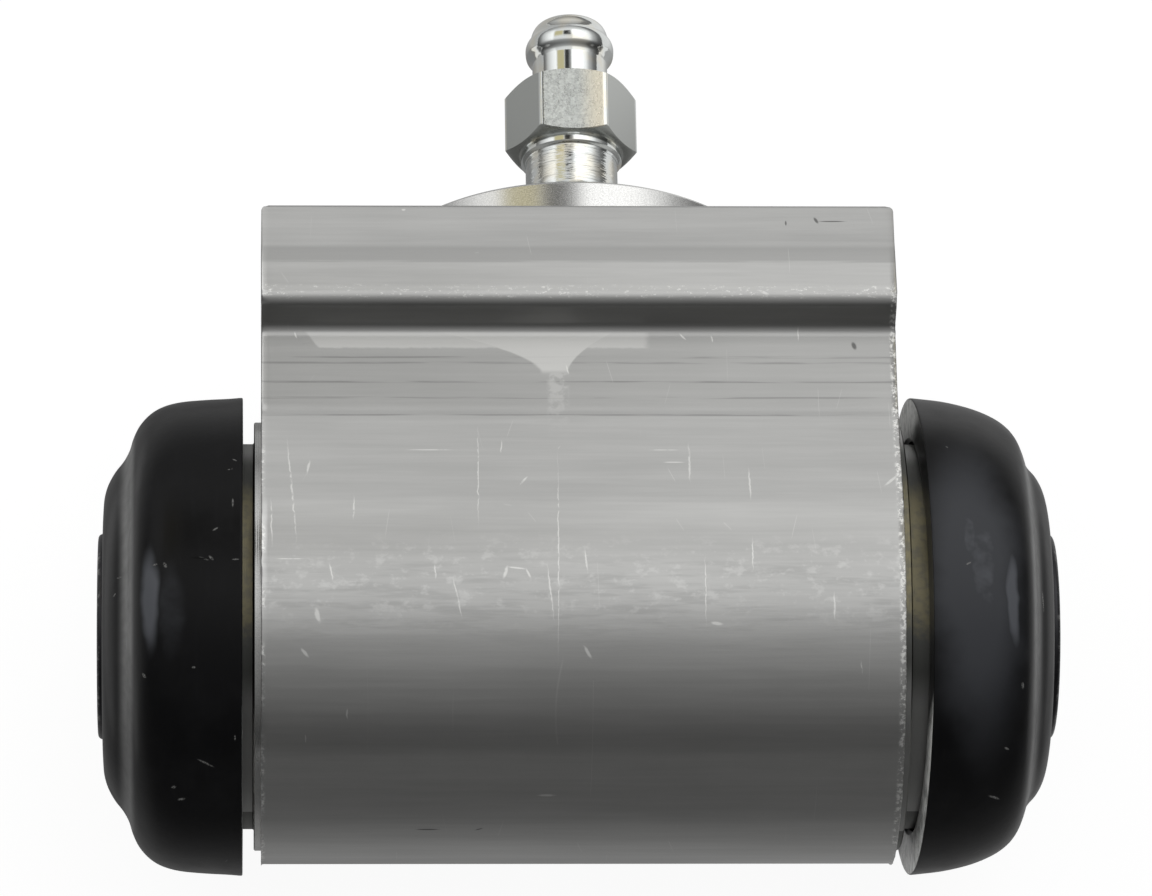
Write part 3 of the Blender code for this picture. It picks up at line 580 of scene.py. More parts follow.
def carve(target, tool, operation):
    """Join or cut with another object at once, and then throw that object away."""
    modifier = target.modifiers.new("carve", "BOOLEAN")
    modifier.operation = operation
    modifier.solver = "EXACT"
    modifier.object = tool
    depsgraph = bpy.context.evaluated_depsgraph_get()
    mesh = bpy.data.meshes.new_from_object(target.evaluated_get(depsgraph))
    target.modifiers.remove(modifier)
    target.data = mesh
    if not mesh.polygons:
        raise RuntimeError(f"{operation} with {tool.name} left nothing of {target.name}")
    bpy.data.objects.remove(tool)


def carve_turned(target, name, section, segments, place, operation):
    """Join or cut with a turned form that stands at a place."""
    carve(target, make_object(name, turned(section, segments), place), operation)


def join_mesh(target, bm, place):
    """Add a bmesh to an object's own mesh as another shell of the same piece."""
    extra = make_object("extra", bm, place)
    joined = bmesh.new()
    joined.from_mesh(target.data)
    joined.from_mesh(extra.data)
    joined.to_mesh(target.data)
    joined.free()
    bpy.data.objects.remove(extra)


def dress(obj, material, slot, *nodes):
    """Give a finished piece its material and shading, and let it stand for solids."""
    obj.data.materials.clear()
    obj.data.materials.append(material)
    obj.data.shade_smooth()
    obj.data.set_sharp_from_angle(angle=SHARP_ANGLE)
    even = obj.modifiers.new("even shading", "WEIGHTED_NORMAL")
    even.keep_sharp = True
    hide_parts(*nodes)


def housing_half_outline():
    """One half of the extrusion, from the mounting face down, as (height, half-width) points."""
    taper_end = (TAPER_FOOT, FLANGE_HALF_WIDTH)
    edge = (FLANGE_FOOT, FLANGE_HALF_WIDTH)
    root = (FLANGE_ROOT, WAIST_HALF_WIDTH)
    waist = cove(WAIST_HALF_WIDTH, SHOULDER, SHOULDER_COVE, steps=6)
    face_edge = (MOUNT_HEIGHT, FACE_HALF_WIDTH)
    points = rounded((MOUNT_HEIGHT, 0), face_edge, TAPER_BEND, FACE_EDGE, steps=5)
    points += [TAPER_BEND, taper_end]
    points += rounded(taper_end, edge, root, FLANGE_EDGE, steps=12)
    points += rounded(edge, root, waist[0], FLANGE_CORNER, steps=10)
    points += waist
    return points + arc((0, 0), BARREL_RADIUS, math.pi / 2 - FLANK_ANGLE, math.pi, steps=60)


def housing_ring(outline, x, inset, jag):
    """One ring of the extrusion, drawn in by inset and roughened where the saw left burrs."""
    depth = BODY_HALF_LENGTH - abs(x)
    fall = FACE_CORNER - depth
    drop = FACE_CORNER - math.sqrt(FACE_CORNER**2 - fall**2) if fall > 0 else 0.0
    ring = []
    for i, (height, width) in enumerate(outline):
        before, after = Vector(outline[i - 1]), Vector(outline[(i + 1) % len(outline)])
        run = (after - before).normalized()
        spot = (height / MM * BURR_SCALE, width / MM * BURR_SCALE, x / MM)
        tooth = noise.noise(spot) * jag
        push = inset + tooth
        height += run.y * push
        width -= run.x * push
        y = min(height, MOUNT_HEIGHT - drop) - MOUNT_HEIGHT
        ring.append((x + math.copysign(tooth, x), y, width))
    return ring


def housing_shell(looks):
    """The sawn length of extrusion, open to the turning and drilling that follow."""
    half = housing_half_outline()
    outline = half + [(height, -width) for height, width in reversed(half[:-1])]
    breaks = looks.edge_break
    # Rings near a sawn end: depth from it, how far drawn in, and how ragged
    ends = [
        (0.0, breaks, looks.burr),
        (breaks * 0.5, breaks * 0.3, looks.burr),
        (breaks * 1.6, 0, looks.burr * 0.3),
        (FACE_CORNER * 0.75, 0, 0),
        (FACE_CORNER * 1.02, 0, 0),
    ]
    stations = [(-BODY_HALF_LENGTH + depth, inset, jag) for depth, inset, jag in ends]
    stations += [(x * MM, 0, 0) for x in range(-24, 25, 4)]
    stations += [(BODY_HALF_LENGTH - depth, inset, jag) for depth, inset, jag in reversed(ends)]
    bm, loops = skin([housing_ring(outline, *station) for station in stations])
    bm.faces.new(loops[0])
    bm.faces.new(loops[-1])
    return bm


def turned_end_section():
    """Half of the turned core that carries the boots, from the middle out."""
    chamfer = NECK_CHAMFER
    start, end = NECK_GROOVE
    return [
        (COLLAR_STATION - chamfer, COLLAR_RADIUS),
        (COLLAR_STATION, COLLAR_RADIUS - chamfer),
        (COLLAR_STATION, NECK_RADIUS + chamfer),
        (COLLAR_STATION + chamfer, NECK_RADIUS),
        (start, NECK_RADIUS),
        (start, NECK_GROOVE_RADIUS),
        (end, NECK_GROOVE_RADIUS),
        (end, NECK_RADIUS),
        (NECK_STATION - chamfer, NECK_RADIUS),
        (NECK_STATION, NECK_RADIUS - chamfer),
        (NECK_STATION, 0),
    ]


def port_section(radius, depth):
    """A tapped port with a conical seat, drilled on into the bore, from its mouth down."""
    return [
        (COUNTERSINK, 0),
        (COUNTERSINK, radius + 2 * COUNTERSINK),
        (-COUNTERSINK, radius),
        (-depth, radius),
        (-depth - radius + PORT_DRILL_RADIUS, PORT_DRILL_RADIUS),
        (-PORT_DRILL_END, PORT_DRILL_RADIUS),
        (-PORT_DRILL_END, 0),
    ]


def port_thread(radius, crest, depth):
    """A tapped hole's thread, which stops one turn short at both ends."""
    return coil(radius, crest, FINE_PITCH, -depth + FINE_PITCH, -FINE_PITCH)


def make_housing(looks):
    body = make_object("housing_metal", housing_shell(looks))
    half = turned_end_section()
    core = [(-along, out) for along, out in reversed(half)] + half
    bore_place = along_bore("right")
    carve_turned(body, "core", core, BARREL_STEPS, bore_place, "UNION")

    chamfer = SPIGOT_CHAMFER
    spigot = [
        (-SPIGOT_HEIGHT, 0),
        (-SPIGOT_HEIGHT, SPIGOT_RADIUS),
        (SPIGOT_HEIGHT - chamfer, SPIGOT_RADIUS),
        (SPIGOT_HEIGHT - chamfer * 0.4, SPIGOT_RADIUS - chamfer * 0.4),
        (SPIGOT_HEIGHT, SPIGOT_RADIUS - chamfer),
        (SPIGOT_HEIGHT, 0),
    ]
    carve_turned(body, "spigot", spigot, BARREL_STEPS, in_face(0, 0, 0), "UNION")

    mouth = NECK_STATION + COUNTERSINK
    half = [
        (NECK_STATION - COUNTERSINK, BORE_RADIUS),
        (mouth, BORE_RADIUS + 2 * COUNTERSINK),
        (mouth, 0),
    ]
    bore = [(-along, out) for along, out in reversed(half)] + half
    carve_turned(body, "bore", bore, BARREL_STEPS, bore_place, "DIFFERENCE")

    inlet_place = in_face(0, SPIGOT_HEIGHT, -PORT_OFFSET)
    port = port_section(INLET_RADIUS, INLET_DEPTH)
    carve_turned(body, "inlet", port, PORT_STEPS, inlet_place, "DIFFERENCE")
    port = port_section(BLEEDER_PORT_RADIUS, BLEEDER_PORT_DEPTH)
    place = in_face(0, SPIGOT_HEIGHT, PORT_OFFSET)
    carve_turned(body, "bleed", port, PORT_STEPS, place, "DIFFERENCE")
    bolt = [
        (COUNTERSINK, 0),
        (COUNTERSINK, BOLT_RADIUS + 2 * COUNTERSINK),
        (-COUNTERSINK, BOLT_RADIUS),
        (-BOLT_DEPTH, BOLT_RADIUS),
        (-BOLT_DEPTH - BOLT_RADIUS * 0.6, 0),
    ]
    for facing in FACING.values():
        place = in_face(facing * BOLT_STATION, 0, 0)
        carve_turned(body, "bolt_hole", bolt, BOLT_STEPS, place, "DIFFERENCE")
        join_mesh(body, port_thread(BOLT_RADIUS, BOLT_CREST_RADIUS, BOLT_DEPTH), place)
    join_mesh(body, port_thread(INLET_RADIUS, INLET_CREST_RADIUS, INLET_DEPTH), inlet_place)
    dress(body, extruded_aluminium(looks), "housing_aluminium", "housing")
    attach(body, "housing")


def extruded_aluminium(looks):
    """Aluminium as it left the die, sawn at the ends and turned where it fits something."""
    material, graph = new_material("extruded_aluminium")
    place = graph.place()
    x, y, z = graph.parts(place)
    nx, ny = graph.parts(graph.add("ShaderNodeNewGeometry", output=1))[:2]
    bands = graph.noise(place, 0.55, 3, 0.6, stretch=(0.010, 1.0, 1.0))
    lines = graph.noise(place, 2.4, 2, 0.65, stretch=(0.045, 1.0, 1.0))
    hairs = graph.noise(place, 14.0, 0, 0.6, stretch=(0.06, 1.0, 1.0))
    clouds = graph.noise(place, 0.16, 2, 0.55, stretch=(0.4, 1.0, 1.0))
    grain = graph.noise(place, 10.0, 1, 0.7)
    patchy = graph.noise(place, 1.3, 2, 0.6)
    ragged = patchy * 0.5 - 0.25

    # The die's skin, and what was sawn, turned or milled
    upper = z > 0
    end = BODY_HALF_LENGTH / MM
    faces_end = abs(nx).ramp(0.8, 0.9)
    sawn = faces_end * abs(x).ramp(end + 0.06, end + 0.03)
    turned_end = abs(x).ramp(end + 0.03, end + 0.06)
    spigot = y.ramp(0.02, 0.06)
    milled = ny.ramp(0.9, 0.97) * y.ramp(-0.2, -0.1)
    machined = turned_end.at_least(spigot).at_least(milled).at_least(sawn)
    drawn_skin = 1 - machined

    # Scratches, rubs, and the die's lines with painted shade along two creases
    scratch = graph.straight_marks(x + patchy * 0.3 - 0.15, y, SCRATCHES) * upper
    scratch = scratch * patchy.ramp(0.24, 0.52)
    upright = graph.vector("MULTIPLY", place, (1.0, 0.22, 0.22))
    rubs = graph.strokes(upright, scale=0.42, length=0.42, width=0.030, share=0.55) * looks.wear
    die_and_crease = None
    for line_y, level in DIE_AND_CREASE_LINES:
        line = abs(y - line_y + (bands - 0.5) * 0.16).ramp(0.16, 0.03) * level
        die_and_crease = line if die_and_crease is None else die_and_crease.at_least(line)
    die_and_crease = die_and_crease * lines.ramp(0.40, 0.62) * drawn_skin
    # Painted shade: a darker band on the flange's side and a streaky darker band on the barrel's front
    flange_shade = y.between(*FLANGE_SHADE_BAND) * drawn_skin
    streaky_shade = graph.noise(place, 1.1, 3, 0.7, stretch=(0.12, 1.0, 1.0)).ramp(0.46, 0.66)
    streaky_shade = streaky_shade * y.between(*BARREL_SHADE_BAND)

    # Nicks on the flange's lip, burrs along the sawn edges, and dark stains
    lip = abs(y + grain * 0.3 + 9.0).ramp(0.75, 0.35) * (abs(z) > 18.8)
    nicked = graph.noise(place, 2.4, 3, 0.75, stretch=(0.8, 1.5, 1.5))
    nick = lip * (nicked.ramp(0.56, 0.70) * 0.85 + 0.12)
    rim = (abs(x) + (x > 0) * upper * 0.2).ramp(end - 0.42, end - 0.1) * (1 - turned_end)
    burred = graph.noise(place, 0.22, 2, 0.6).ramp(0.44, 0.58) * y.ramp(-18.0, -22.0)
    burred = burred.at_least(upper * (x > 0) * y.ramp(-7.8, -9.2))
    burr = rim * (1 - faces_end) * graph.noise(place, 2.6, 3, 0.7).ramp(0.47, 0.59) * burred
    stain = graph.straight_marks(x, y, STAINS) * upper

    # A pale smear under the flange: a band, the stem it narrows to, and a streak below
    band = (y + ragged * 0.5).ramp(-13.1, -12.85) * (x + y * 0.75 + 32.0 + ragged).ramp(0.0, 0.3)
    band = band * (x + ragged).ramp(6.2, 5.4) * (bands * 0.5 + 0.55)
    aside = abs(x + 1.7) + (x + 1.7).at_least(0.0) * 1.2
    funnel = aside - (y + 15.4).at_least(0.0).math("POWER", 1.8) * 0.75
    stem = (funnel + ragged * 0.4).ramp(1.75, 1.3) * y.ramp(-15.6, -15.0)
    streak = abs(x + 1.8 + ragged * 1.2).ramp(1.1, 0.6) * y.ramp(-22.5, -16.0)
    streak = streak * patchy.ramp(0.4, 0.6) * 0.5
    smear = band.at_least(stem).at_least(streak) * y.ramp(-11.4, -11.65) * upper
    smudge = graph.noise(place, 0.9, 3, 0.7, stretch=(0.7, 1.0, 1.0)).ramp(0.52, 0.7)
    smudge = smudge * y.between(*SMUDGED_BAND) * upper

    # The painted shade on the skin, and the necks: painted shade, with a painted yellowish reflection along
    # the top, paler further round
    tone = (bands * 0.45 + lines * 0.3 + clouds * 0.35 - 0.05).ramp(0.25, 0.8)
    # Painted shade in the waist under the flange, gathered with the other painted shade
    waist = y.between(*WAIST_SHADE_BAND) * drawn_skin
    painted_shade = flange_shade.at_least(streaky_shade * 0.6).at_least(waist * 0.5) * 0.75
    collar = COLLAR_STATION / MM
    neck = (abs(x) + (x > 0) * 0.58).ramp(collar - 0.05, collar + 0.05)
    neck_reflection = (y + patchy * 3.0).between(*NECK_REFLECTION_BAND) * upper
    neck_reflection = neck_reflection * (patchy.ramp(0.3, 0.6) * 0.5 + 0.5)
    neck_paler_aside = abs(y - BORE_AXIS_Y / MM).ramp(9.5, 12.5) * upper
    bright = (scratch * 0.6).at_least(rubs * 0.24).at_least(nick * 0.85)
    bright = bright.at_least(burr) * (1 - spigot) * (1 - neck)

    clean, pale = shade(looks.clean_tone), shade(looks.clean_tone, 1.3)
    base = graph.layers(
        shade(looks.dull_tone),
        (tone, clean),
        (painted_shade, shade(looks.dull_tone, 0.80)),
        (die_and_crease * 0.55, shade(looks.dull_tone, 0.4)),
        ((smear * 0.7).at_least(smudge * 0.35), pale),
        (machined, graph.mix(grain.ramp(0.3, 0.7), clean, pale)),
        (turned_end * 0.35, shade(looks.dull_tone, 0.5)),
        (neck, graph.layers(
            shade(looks.neck_shade_tone),
            (neck_reflection, shade(looks.neck_reflection_tone)),
            (neck_paler_aside, shade(looks.dull_tone, 0.85)),
        )),
        (bright, shade(looks.bare_tone)),
        (stain * 0.7, shade(looks.dull_tone, 0.12)),
    )

    roughness = looks.satin + (grain - 0.5) * 0.08 + smear * 0.12 + bright * 0.2
    roughness = roughness - machined * 0.1 + neck * 0.2
    saw = graph.noise(place, 1.8, 1, 0.6, stretch=(1.0, 0.25, 5.0))
    arcs = (y - SAW_CENTRE[0]).hypot(z - SAW_CENTRE[1]) * SAW_ARCS
    rings = (x * NECK_RINGS).math("SINE") * turned_end * (1 - faces_end)
    height = (lines + hairs * 0.5) * drawn_skin + grain * 0.35
    height = height + (arcs.math("SINE") * 0.5 + saw * 1.5) * sawn + rings * 0.4
    graph.finish(base, roughness, height, looks.relief, {"Metallic": 1.0})
    return material


def boot_section():
    """A boot's section, with its outside drawn as the real one's and its inside as the solid's."""
    gap = BOOT_CLEARANCE
    outside = smooth_through(BOOT_PROFILE, steps=4)
    hole = PISTON_HEAD_RADIUS + gap
    lip = PISTON_GROOVE_RADIUS + gap
    inside = [
        (BOOT_FRONT - 0.12 * MM, hole + 0.35 * MM),
        (BOOT_FRONT - 0.45 * MM, hole + 0.02 * MM),
        (PISTON_HEAD - gap, hole),
        (PISTON_HEAD - gap, lip),
        (PISTON_SHOULDER + gap, lip),
        (PISTON_SHOULDER + gap, lip + 1.6 * MM),
        (BOOT_FRONT - 1.9 * MM, hole + 2.8 * MM),
        (NECK_STATION + 0.6 * MM, NECK_RADIUS - 1.9 * MM),
        (NECK_STATION + gap, BOOT_BORE_RADIUS),
        (NECK_GROOVE[1] - gap, BOOT_BORE_RADIUS),
        (NECK_GROOVE[1] - gap, NECK_GROOVE_RADIUS + gap),
        (NECK_GROOVE[0] + gap, NECK_GROOVE_RADIUS + gap),
        (NECK_GROOVE[0] + gap, BOOT_BORE_RADIUS),
        (BOOT_RIM + gap, BOOT_BORE_RADIUS),
        (BOOT_RIM, BOOT_BORE_RADIUS + gap),
    ]
    corner = (BOOT_RIM, BOOT_EDGE_RADIUS)
    rim = rounded((BOOT_RIM, BOOT_BORE_RADIUS), corner, outside[0], 0.12 * MM, steps=4)
    return rim + outside + inside


def clamped(value):
    return min(1.0, max(0.0, value))


def relax(bm, wobble, lean, slump, press, seed):
    """Let a boot stray from round, sink at its shoulder and its front, and lean on its neck."""
    for vert in bm.verts:
        out = math.hypot(vert.co.x, vert.co.y)
        if out < NECK_RADIUS and vert.co.z < NECK_STATION:
            continue
        around = Vector((vert.co.x, vert.co.y, 0)) / out
        spot = (around.x * 1.6 + seed, around.y * 1.6, vert.co.z / MM * 0.12)
        stray = wobble * (0.5 + 0.5 * noise.noise(spot))
        reach = (vert.co.z - BOOT_RIM) / (BOOT_FRONT - BOOT_RIM)
        sink = slump * math.sin(math.pi * clamped(reach) ** 1.6) ** 1.5
        hold = clamped((out - PISTON_HEAD_RADIUS) / (2 * MM))
        tilt = vert.co.x * BOOT_LEAN_AXIS[0] + vert.co.y * BOOT_LEAN_AXIS[1]
        vert.co -= around * (stray + sink) * hold
        front = clamped((reach - BOOT_FRONT_START) / (1 - BOOT_FRONT_START))
        vert.co.z += tilt * lean * hold * (1 - front) - press * front
    return bm


def make_boot(side, looks, material):
    facing = FACING[side]
    changes = (looks.lean, looks.slump, looks.press) if side == "right" else (0.0, 0.0, 0.0)
    bm = relax(turned(boot_section(), BOOT_STEPS), looks.wobble, *changes, seed=facing * 4.0)
    boot = make_object(f"{side}_rubber_boot", bm, along_bore(side))
    dress(boot, material, "boot_rubber", f"{side}_dust_boot")
    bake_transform(boot)


def moulded_rubber(looks):
    """Black rubber with a soft sheen and nicks, with painted sheen patches, a painted valley highlight and a
    painted rim reflection.
    """
    material, graph = new_material("moulded_rubber")
    place = graph.place()
    x, y, z = graph.parts(place)
    nx = graph.parts(graph.add("ShaderNodeNewGeometry", output=1))[0]
    upper = z > 0
    aside = y - BORE_AXIS_Y / MM
    film = graph.noise(place, 0.16, 3, 0.6).ramp(0.46, 0.74)
    streaks = graph.noise(place, 0.9, 3, 0.6, stretch=(1.6, 0.25, 0.25))
    grain = graph.noise(place, 11.0, 1, 0.7)
    ragged = graph.noise(place, 0.7, 2, 0.65)
    drift = graph.noise(place, 0.3, 2, 0.5) * 1.6 - 0.8
    # Painted sheen: soft light patches in the base colour that stand in for reflections
    painted_sheen = graph.straight_marks(x + drift * 0.5, y + drift, BOOT_PAINTED_SHEEN) * upper
    painted_haze = graph.straight_marks(x + drift, y + drift, BOOT_PAINTED_HAZE) * upper
    painted_haze = painted_haze * (ragged.ramp(0.1, 0.8) * 0.6 + 0.4) * ((x > 0) * 0.65 + 0.18)
    painted_glow = graph.straight_marks(x + drift, y + drift, BOOT_PAINTED_GLOW) * upper
    nicks = graph.straight_marks(x, y, BOOT_NICKS) * upper * grain.ramp(0.36, 0.56)
    specks = graph.strokes(place, scale=0.30, length=0.45, width=0.05, share=0.3) * (z < 0)
    cut = graph.straight_marks(x, y, BOOT_CUT) * upper
    # Painted reflection: the rim's end face is made light grey as if mirroring the bright side
    rim = abs(nx).ramp(0.94, 0.98) * (abs(x) < 32.0) * abs(aside).ramp(12.5, 15.0)
    # Painted highlight along each boot's valley, fading towards lower y
    valley_highlight = aside.hypot(z).between(*VALLEY_HIGHLIGHT)
    valley_highlight = valley_highlight * (y.ramp(-49.0, -38.0) * 0.4 + 0.5) * (ragged.ramp(0.2, 0.7) * 0.3 + 0.7)

    base = graph.layers(
        shade(looks.rubber),
        (film * 0.5 + streaks.ramp(0.5, 0.8) * 0.3, shade(looks.film)),
        (valley_highlight, shade(looks.valley_highlight_tone)),
        (painted_sheen.at_least(painted_haze).at_least(painted_glow * 0.5), shade(looks.painted_sheen_tone)),
        (rim * (ragged.ramp(0.3, 0.6) * 0.5 + 0.5), shade(looks.rim_reflection_tone)),
        ((nicks * 0.8).at_least(specks * 0.3), shade(looks.nick)),
        (cut, shade(looks.rubber, 0.0)),
    )
    roughness = looks.satin + (grain - 0.5) * 0.08 + film * 0.08 - rim * 0.08
    height = grain * 0.25 + ragged * 1.5
    graph.finish(base, roughness, height, 0.008 * MM, {"Specular IOR Level": 0.12})
    return material


def make_piston(side, material):
    edge = PISTON_EDGE
    section = [
        (PISTON_INNER, 0),
        (PISTON_INNER, PISTON_RADIUS - edge),
        (PISTON_INNER + edge, PISTON_RADIUS),
        (PISTON_SHOULDER - edge, PISTON_RADIUS),
        (PISTON_SHOULDER, PISTON_RADIUS - edge),
        (PISTON_SHOULDER, PISTON_GROOVE_RADIUS),
        (PISTON_HEAD, PISTON_GROOVE_RADIUS),
        (PISTON_HEAD, PISTON_HEAD_RADIUS - edge * 0.4),
        (PISTON_HEAD + edge * 0.4, PISTON_HEAD_RADIUS),
        *arc((PISTON_FACE - edge, PISTON_HEAD_RADIUS - edge), edge, math.pi / 2, 0, steps=5),
        (PISTON_FACE, 0),
    ]
    piston = make_object(f"{side}_piston_metal", turned(section, PISTON_STEPS), along_bore(side))
    reach = (SHOE_SLOT_LENGTH - SHOE_SLOT_WIDTH) / 2
    quarter = math.pi / 2
    right = arc((reach, 0), SHOE_SLOT_WIDTH / 2, -quarter, quarter, steps=24)
    left = arc((-reach, 0), SHOE_SLOT_WIDTH / 2, quarter, 3 * quarter, steps=24)
    slot = prism(right + left, PISTON_FACE - SHOE_SLOT_DEPTH, PISTON_FACE + edge)
    carve(piston, make_object("shoe_slot", slot, along_bore(side)), "DIFFERENCE")
    dress(piston, material, "piston_alloy", f"{side}_piston")
    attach(piston, f"{side}_piston")


def dark_alloy(looks):
    """Dark anodised alloy, turned, with the fine rings of the tool."""
    material, graph = new_material("dark_alloy")
    place = graph.place()
    x, y, z = graph.parts(place)
    out = (y + MOUNT_HEIGHT / MM).hypot(z)
    rings = (out * PISTON_RINGS).math("SINE") * 0.5 + (x * PISTON_RINGS).math("SINE") * 0.5
    wear = graph.noise(place, 1.1, 3, 0.65)
    rubbed = abs(x).ramp(40.6, 40.9) * wear.ramp(0.52, 0.66) * out.ramp(8.2, 8.7)
    base = graph.layers(
        shade(looks.alloy),
        (wear, shade(looks.alloy, 1.7)),
        (rubbed * 0.5, shade(looks.bare_alloy)),
    )
    roughness = 0.36 + (wear - 0.5) * 0.16
    graph.finish(base, roughness, rings + wear, 0.004 * MM, {"Metallic": 0.8})
    return material


def bleeder_section():
    """The turned form of the bleeder without its hexagon, from its tip to its top."""
    root = BLEEDER_ROOT_RADIUS
    tip_radius = BLEEDER_THREAD_RADIUS - 1.1 * MM
    middle = (BLEEDER_HEX_FOOT + BLEEDER_HEX_TOP) / 2
    washer = BLEEDER_HEX_FOOT - 0.8 * MM
    return [
        (BLEEDER_TIP, 0),
        (BLEEDER_TIP, BLEEDER_BORE_RADIUS),
        (BLEEDER_TIP + tip_radius - BLEEDER_BORE_RADIUS, tip_radius),
        (BLEEDER_SHANK_FOOT, tip_radius),
        (BLEEDER_SHANK_FOOT + 0.5 * MM, root),
        (BLEEDER_THREAD_TOP, root),
        (BLEEDER_THREAD_TOP + 0.5 * MM, BLEEDER_THREAD_RADIUS - 0.03 * MM),
        *((height * MM, BLEEDER_THREAD_RADIUS - less * MM) for height, less in BLEEDER_SHANK),
        (washer - 0.25 * MM, BLEEDER_THREAD_RADIUS),
        (washer - 0.08 * MM, BLEEDER_THREAD_RADIUS + 0.08 * MM),
        (washer, BLEEDER_COLLAR_RADIUS - 0.12 * MM),
        (washer + 0.12 * MM, BLEEDER_COLLAR_RADIUS),
        (middle, BLEEDER_COLLAR_RADIUS),
        (middle, BLEEDER_STEM_RADIUS),
        *smooth_through(BLEEDER_BEAD, steps=5),
        (23.8 * MM, BLEEDER_BORE_RADIUS + 0.25 * MM),
        (23.55 * MM, BLEEDER_BORE_RADIUS),
        (middle, BLEEDER_BORE_RADIUS),
        (middle, 0),
    ]


def bleeder_hexagon():
    """A hexagon whose corners are taken off by a cone at both ends."""
    corner_radius = BLEEDER_FLAT_RADIUS / math.cos(math.pi / 6)
    outline = []
    for side in range(6):
        angle = math.tau * side / 6 + BLEEDER_HEX_TURN
        before, corner, after = (
            (corner_radius * math.cos(angle + turn), corner_radius * math.sin(angle + turn))
            for turn in (-math.pi / 3, 0, math.pi / 3)
        )
        outline += rounded(before, corner, after, BLEEDER_HEX_ROUNDING, steps=3)
    hexagon = make_object("hexagon", prism(outline, BLEEDER_HEX_FOOT, BLEEDER_HEX_TOP))
    spread = 2 * (corner_radius - BLEEDER_FLAT_RADIUS)
    drop = spread * math.tan(BLEEDER_HEX_CHAMFER)
    flat = BLEEDER_FLAT_RADIUS - BLEEDER_HEX_ROUNDING
    cones = [
        (BLEEDER_HEX_FOOT, 0),
        (BLEEDER_HEX_FOOT, flat),
        (BLEEDER_HEX_FOOT + drop, flat + spread),
        (BLEEDER_HEX_TOP - drop, flat + spread),
        (BLEEDER_HEX_TOP, flat),
        (BLEEDER_HEX_TOP, 0),
    ]
    carve_turned(hexagon, "cones", cones, BARREL_STEPS, None, "INTERSECT")
    bm = bmesh.new()
    bm.from_mesh(hexagon.data)
    bpy.data.objects.remove(hexagon)
    return bm


def make_bleeder(looks):
    place = in_face(0, 0, PORT_OFFSET)
    screw = make_object("bleeder_metal", turned(bleeder_section(), BLEEDER_STEPS), place)
    join_mesh(screw, bleeder_hexagon(), place)
    crest = BLEEDER_THREAD_RADIUS - 0.02 * MM
    foot = BLEEDER_SHANK_FOOT + BLEEDER_PITCH
    thread = coil(BLEEDER_ROOT_RADIUS, crest, BLEEDER_PITCH, foot, BLEEDER_THREAD_TOP)
    join_mesh(screw, thread, place)
    dress(screw, zinc_plate(looks), "zinc_steel", "bleeder_screw")
    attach(screw, "bleeder")


def zinc_plate(looks):
    """Bright zinc on turned steel, crackled on the hexagon's flats that face up and down."""
    material, graph = new_material("zinc_plate")
    place = graph.place()
    x, y, z = graph.parts(place)
    rise = z - PORT_OFFSET / MM
    out = x.hypot(rise)
    on_hex = (out > 4.55) * (y > BLEEDER_HEX_FOOT / MM) * (y < BLEEDER_HEX_TOP / MM)
    on_hex = on_hex * out.ramp(5.7, 5.6)
    level_flat = abs(rise) > 4.85
    crackled = on_hex * level_flat
    mottle = graph.noise(place, 2.6, 6, 0.72)
    pits = graph.noise(place, 7.0, 3, 0.7)
    hue = graph.noise(place, 0.45, 2, 0.5)
    turns = graph.noise(place, 1.0, 3, 0.6, stretch=(0.22, 2.6, 0.22))
    stained = (x + mottle).ramp(0.8, 2.9) * (z > 11.0)
    worn = graph.layers(
        shade(looks.dull_zinc, 0.82),
        (mottle.ramp(0.40, 0.66), shade(looks.dull_zinc, 1.25)),
        (stained * 0.8, shade(looks.warm_zinc, 0.9)),
    )
    base = graph.layers(
        shade(looks.zinc),
        (hue.ramp(0.42, 0.66) * 0.5, shade(looks.warm_zinc)),
        (on_hex, graph.mix(level_flat, shade(looks.dull_zinc, 0.9), worn)),
    )
    roughness = looks.plate + on_hex * 0.12 + crackled * mottle.ramp(0.3, 0.7) * 0.18
    roughness = roughness + (pits - 0.5) * 0.05
    height = crackled * (mottle * 3.2 + pits * 0.6) + pits * 0.12
    height = height + turns * (1 - on_hex) * ((y < 10.0) * 9.5 + 0.5)
    graph.finish(base, roughness, height, 0.01 * MM, {"Metallic": 1.0})
    return material


def inner_finish(name, tones, scale, depth, roughness, metallic):
    """Finely grained finish for a part that stays inside the bore."""
    material, graph = new_material(name)
    grain = graph.noise(graph.place(), scale, 3, 0.6)
    base = graph.mix(grain, *tones)
    graph.finish(base, roughness + grain * 0.15, grain, depth, {"Metallic": metallic})
    return material


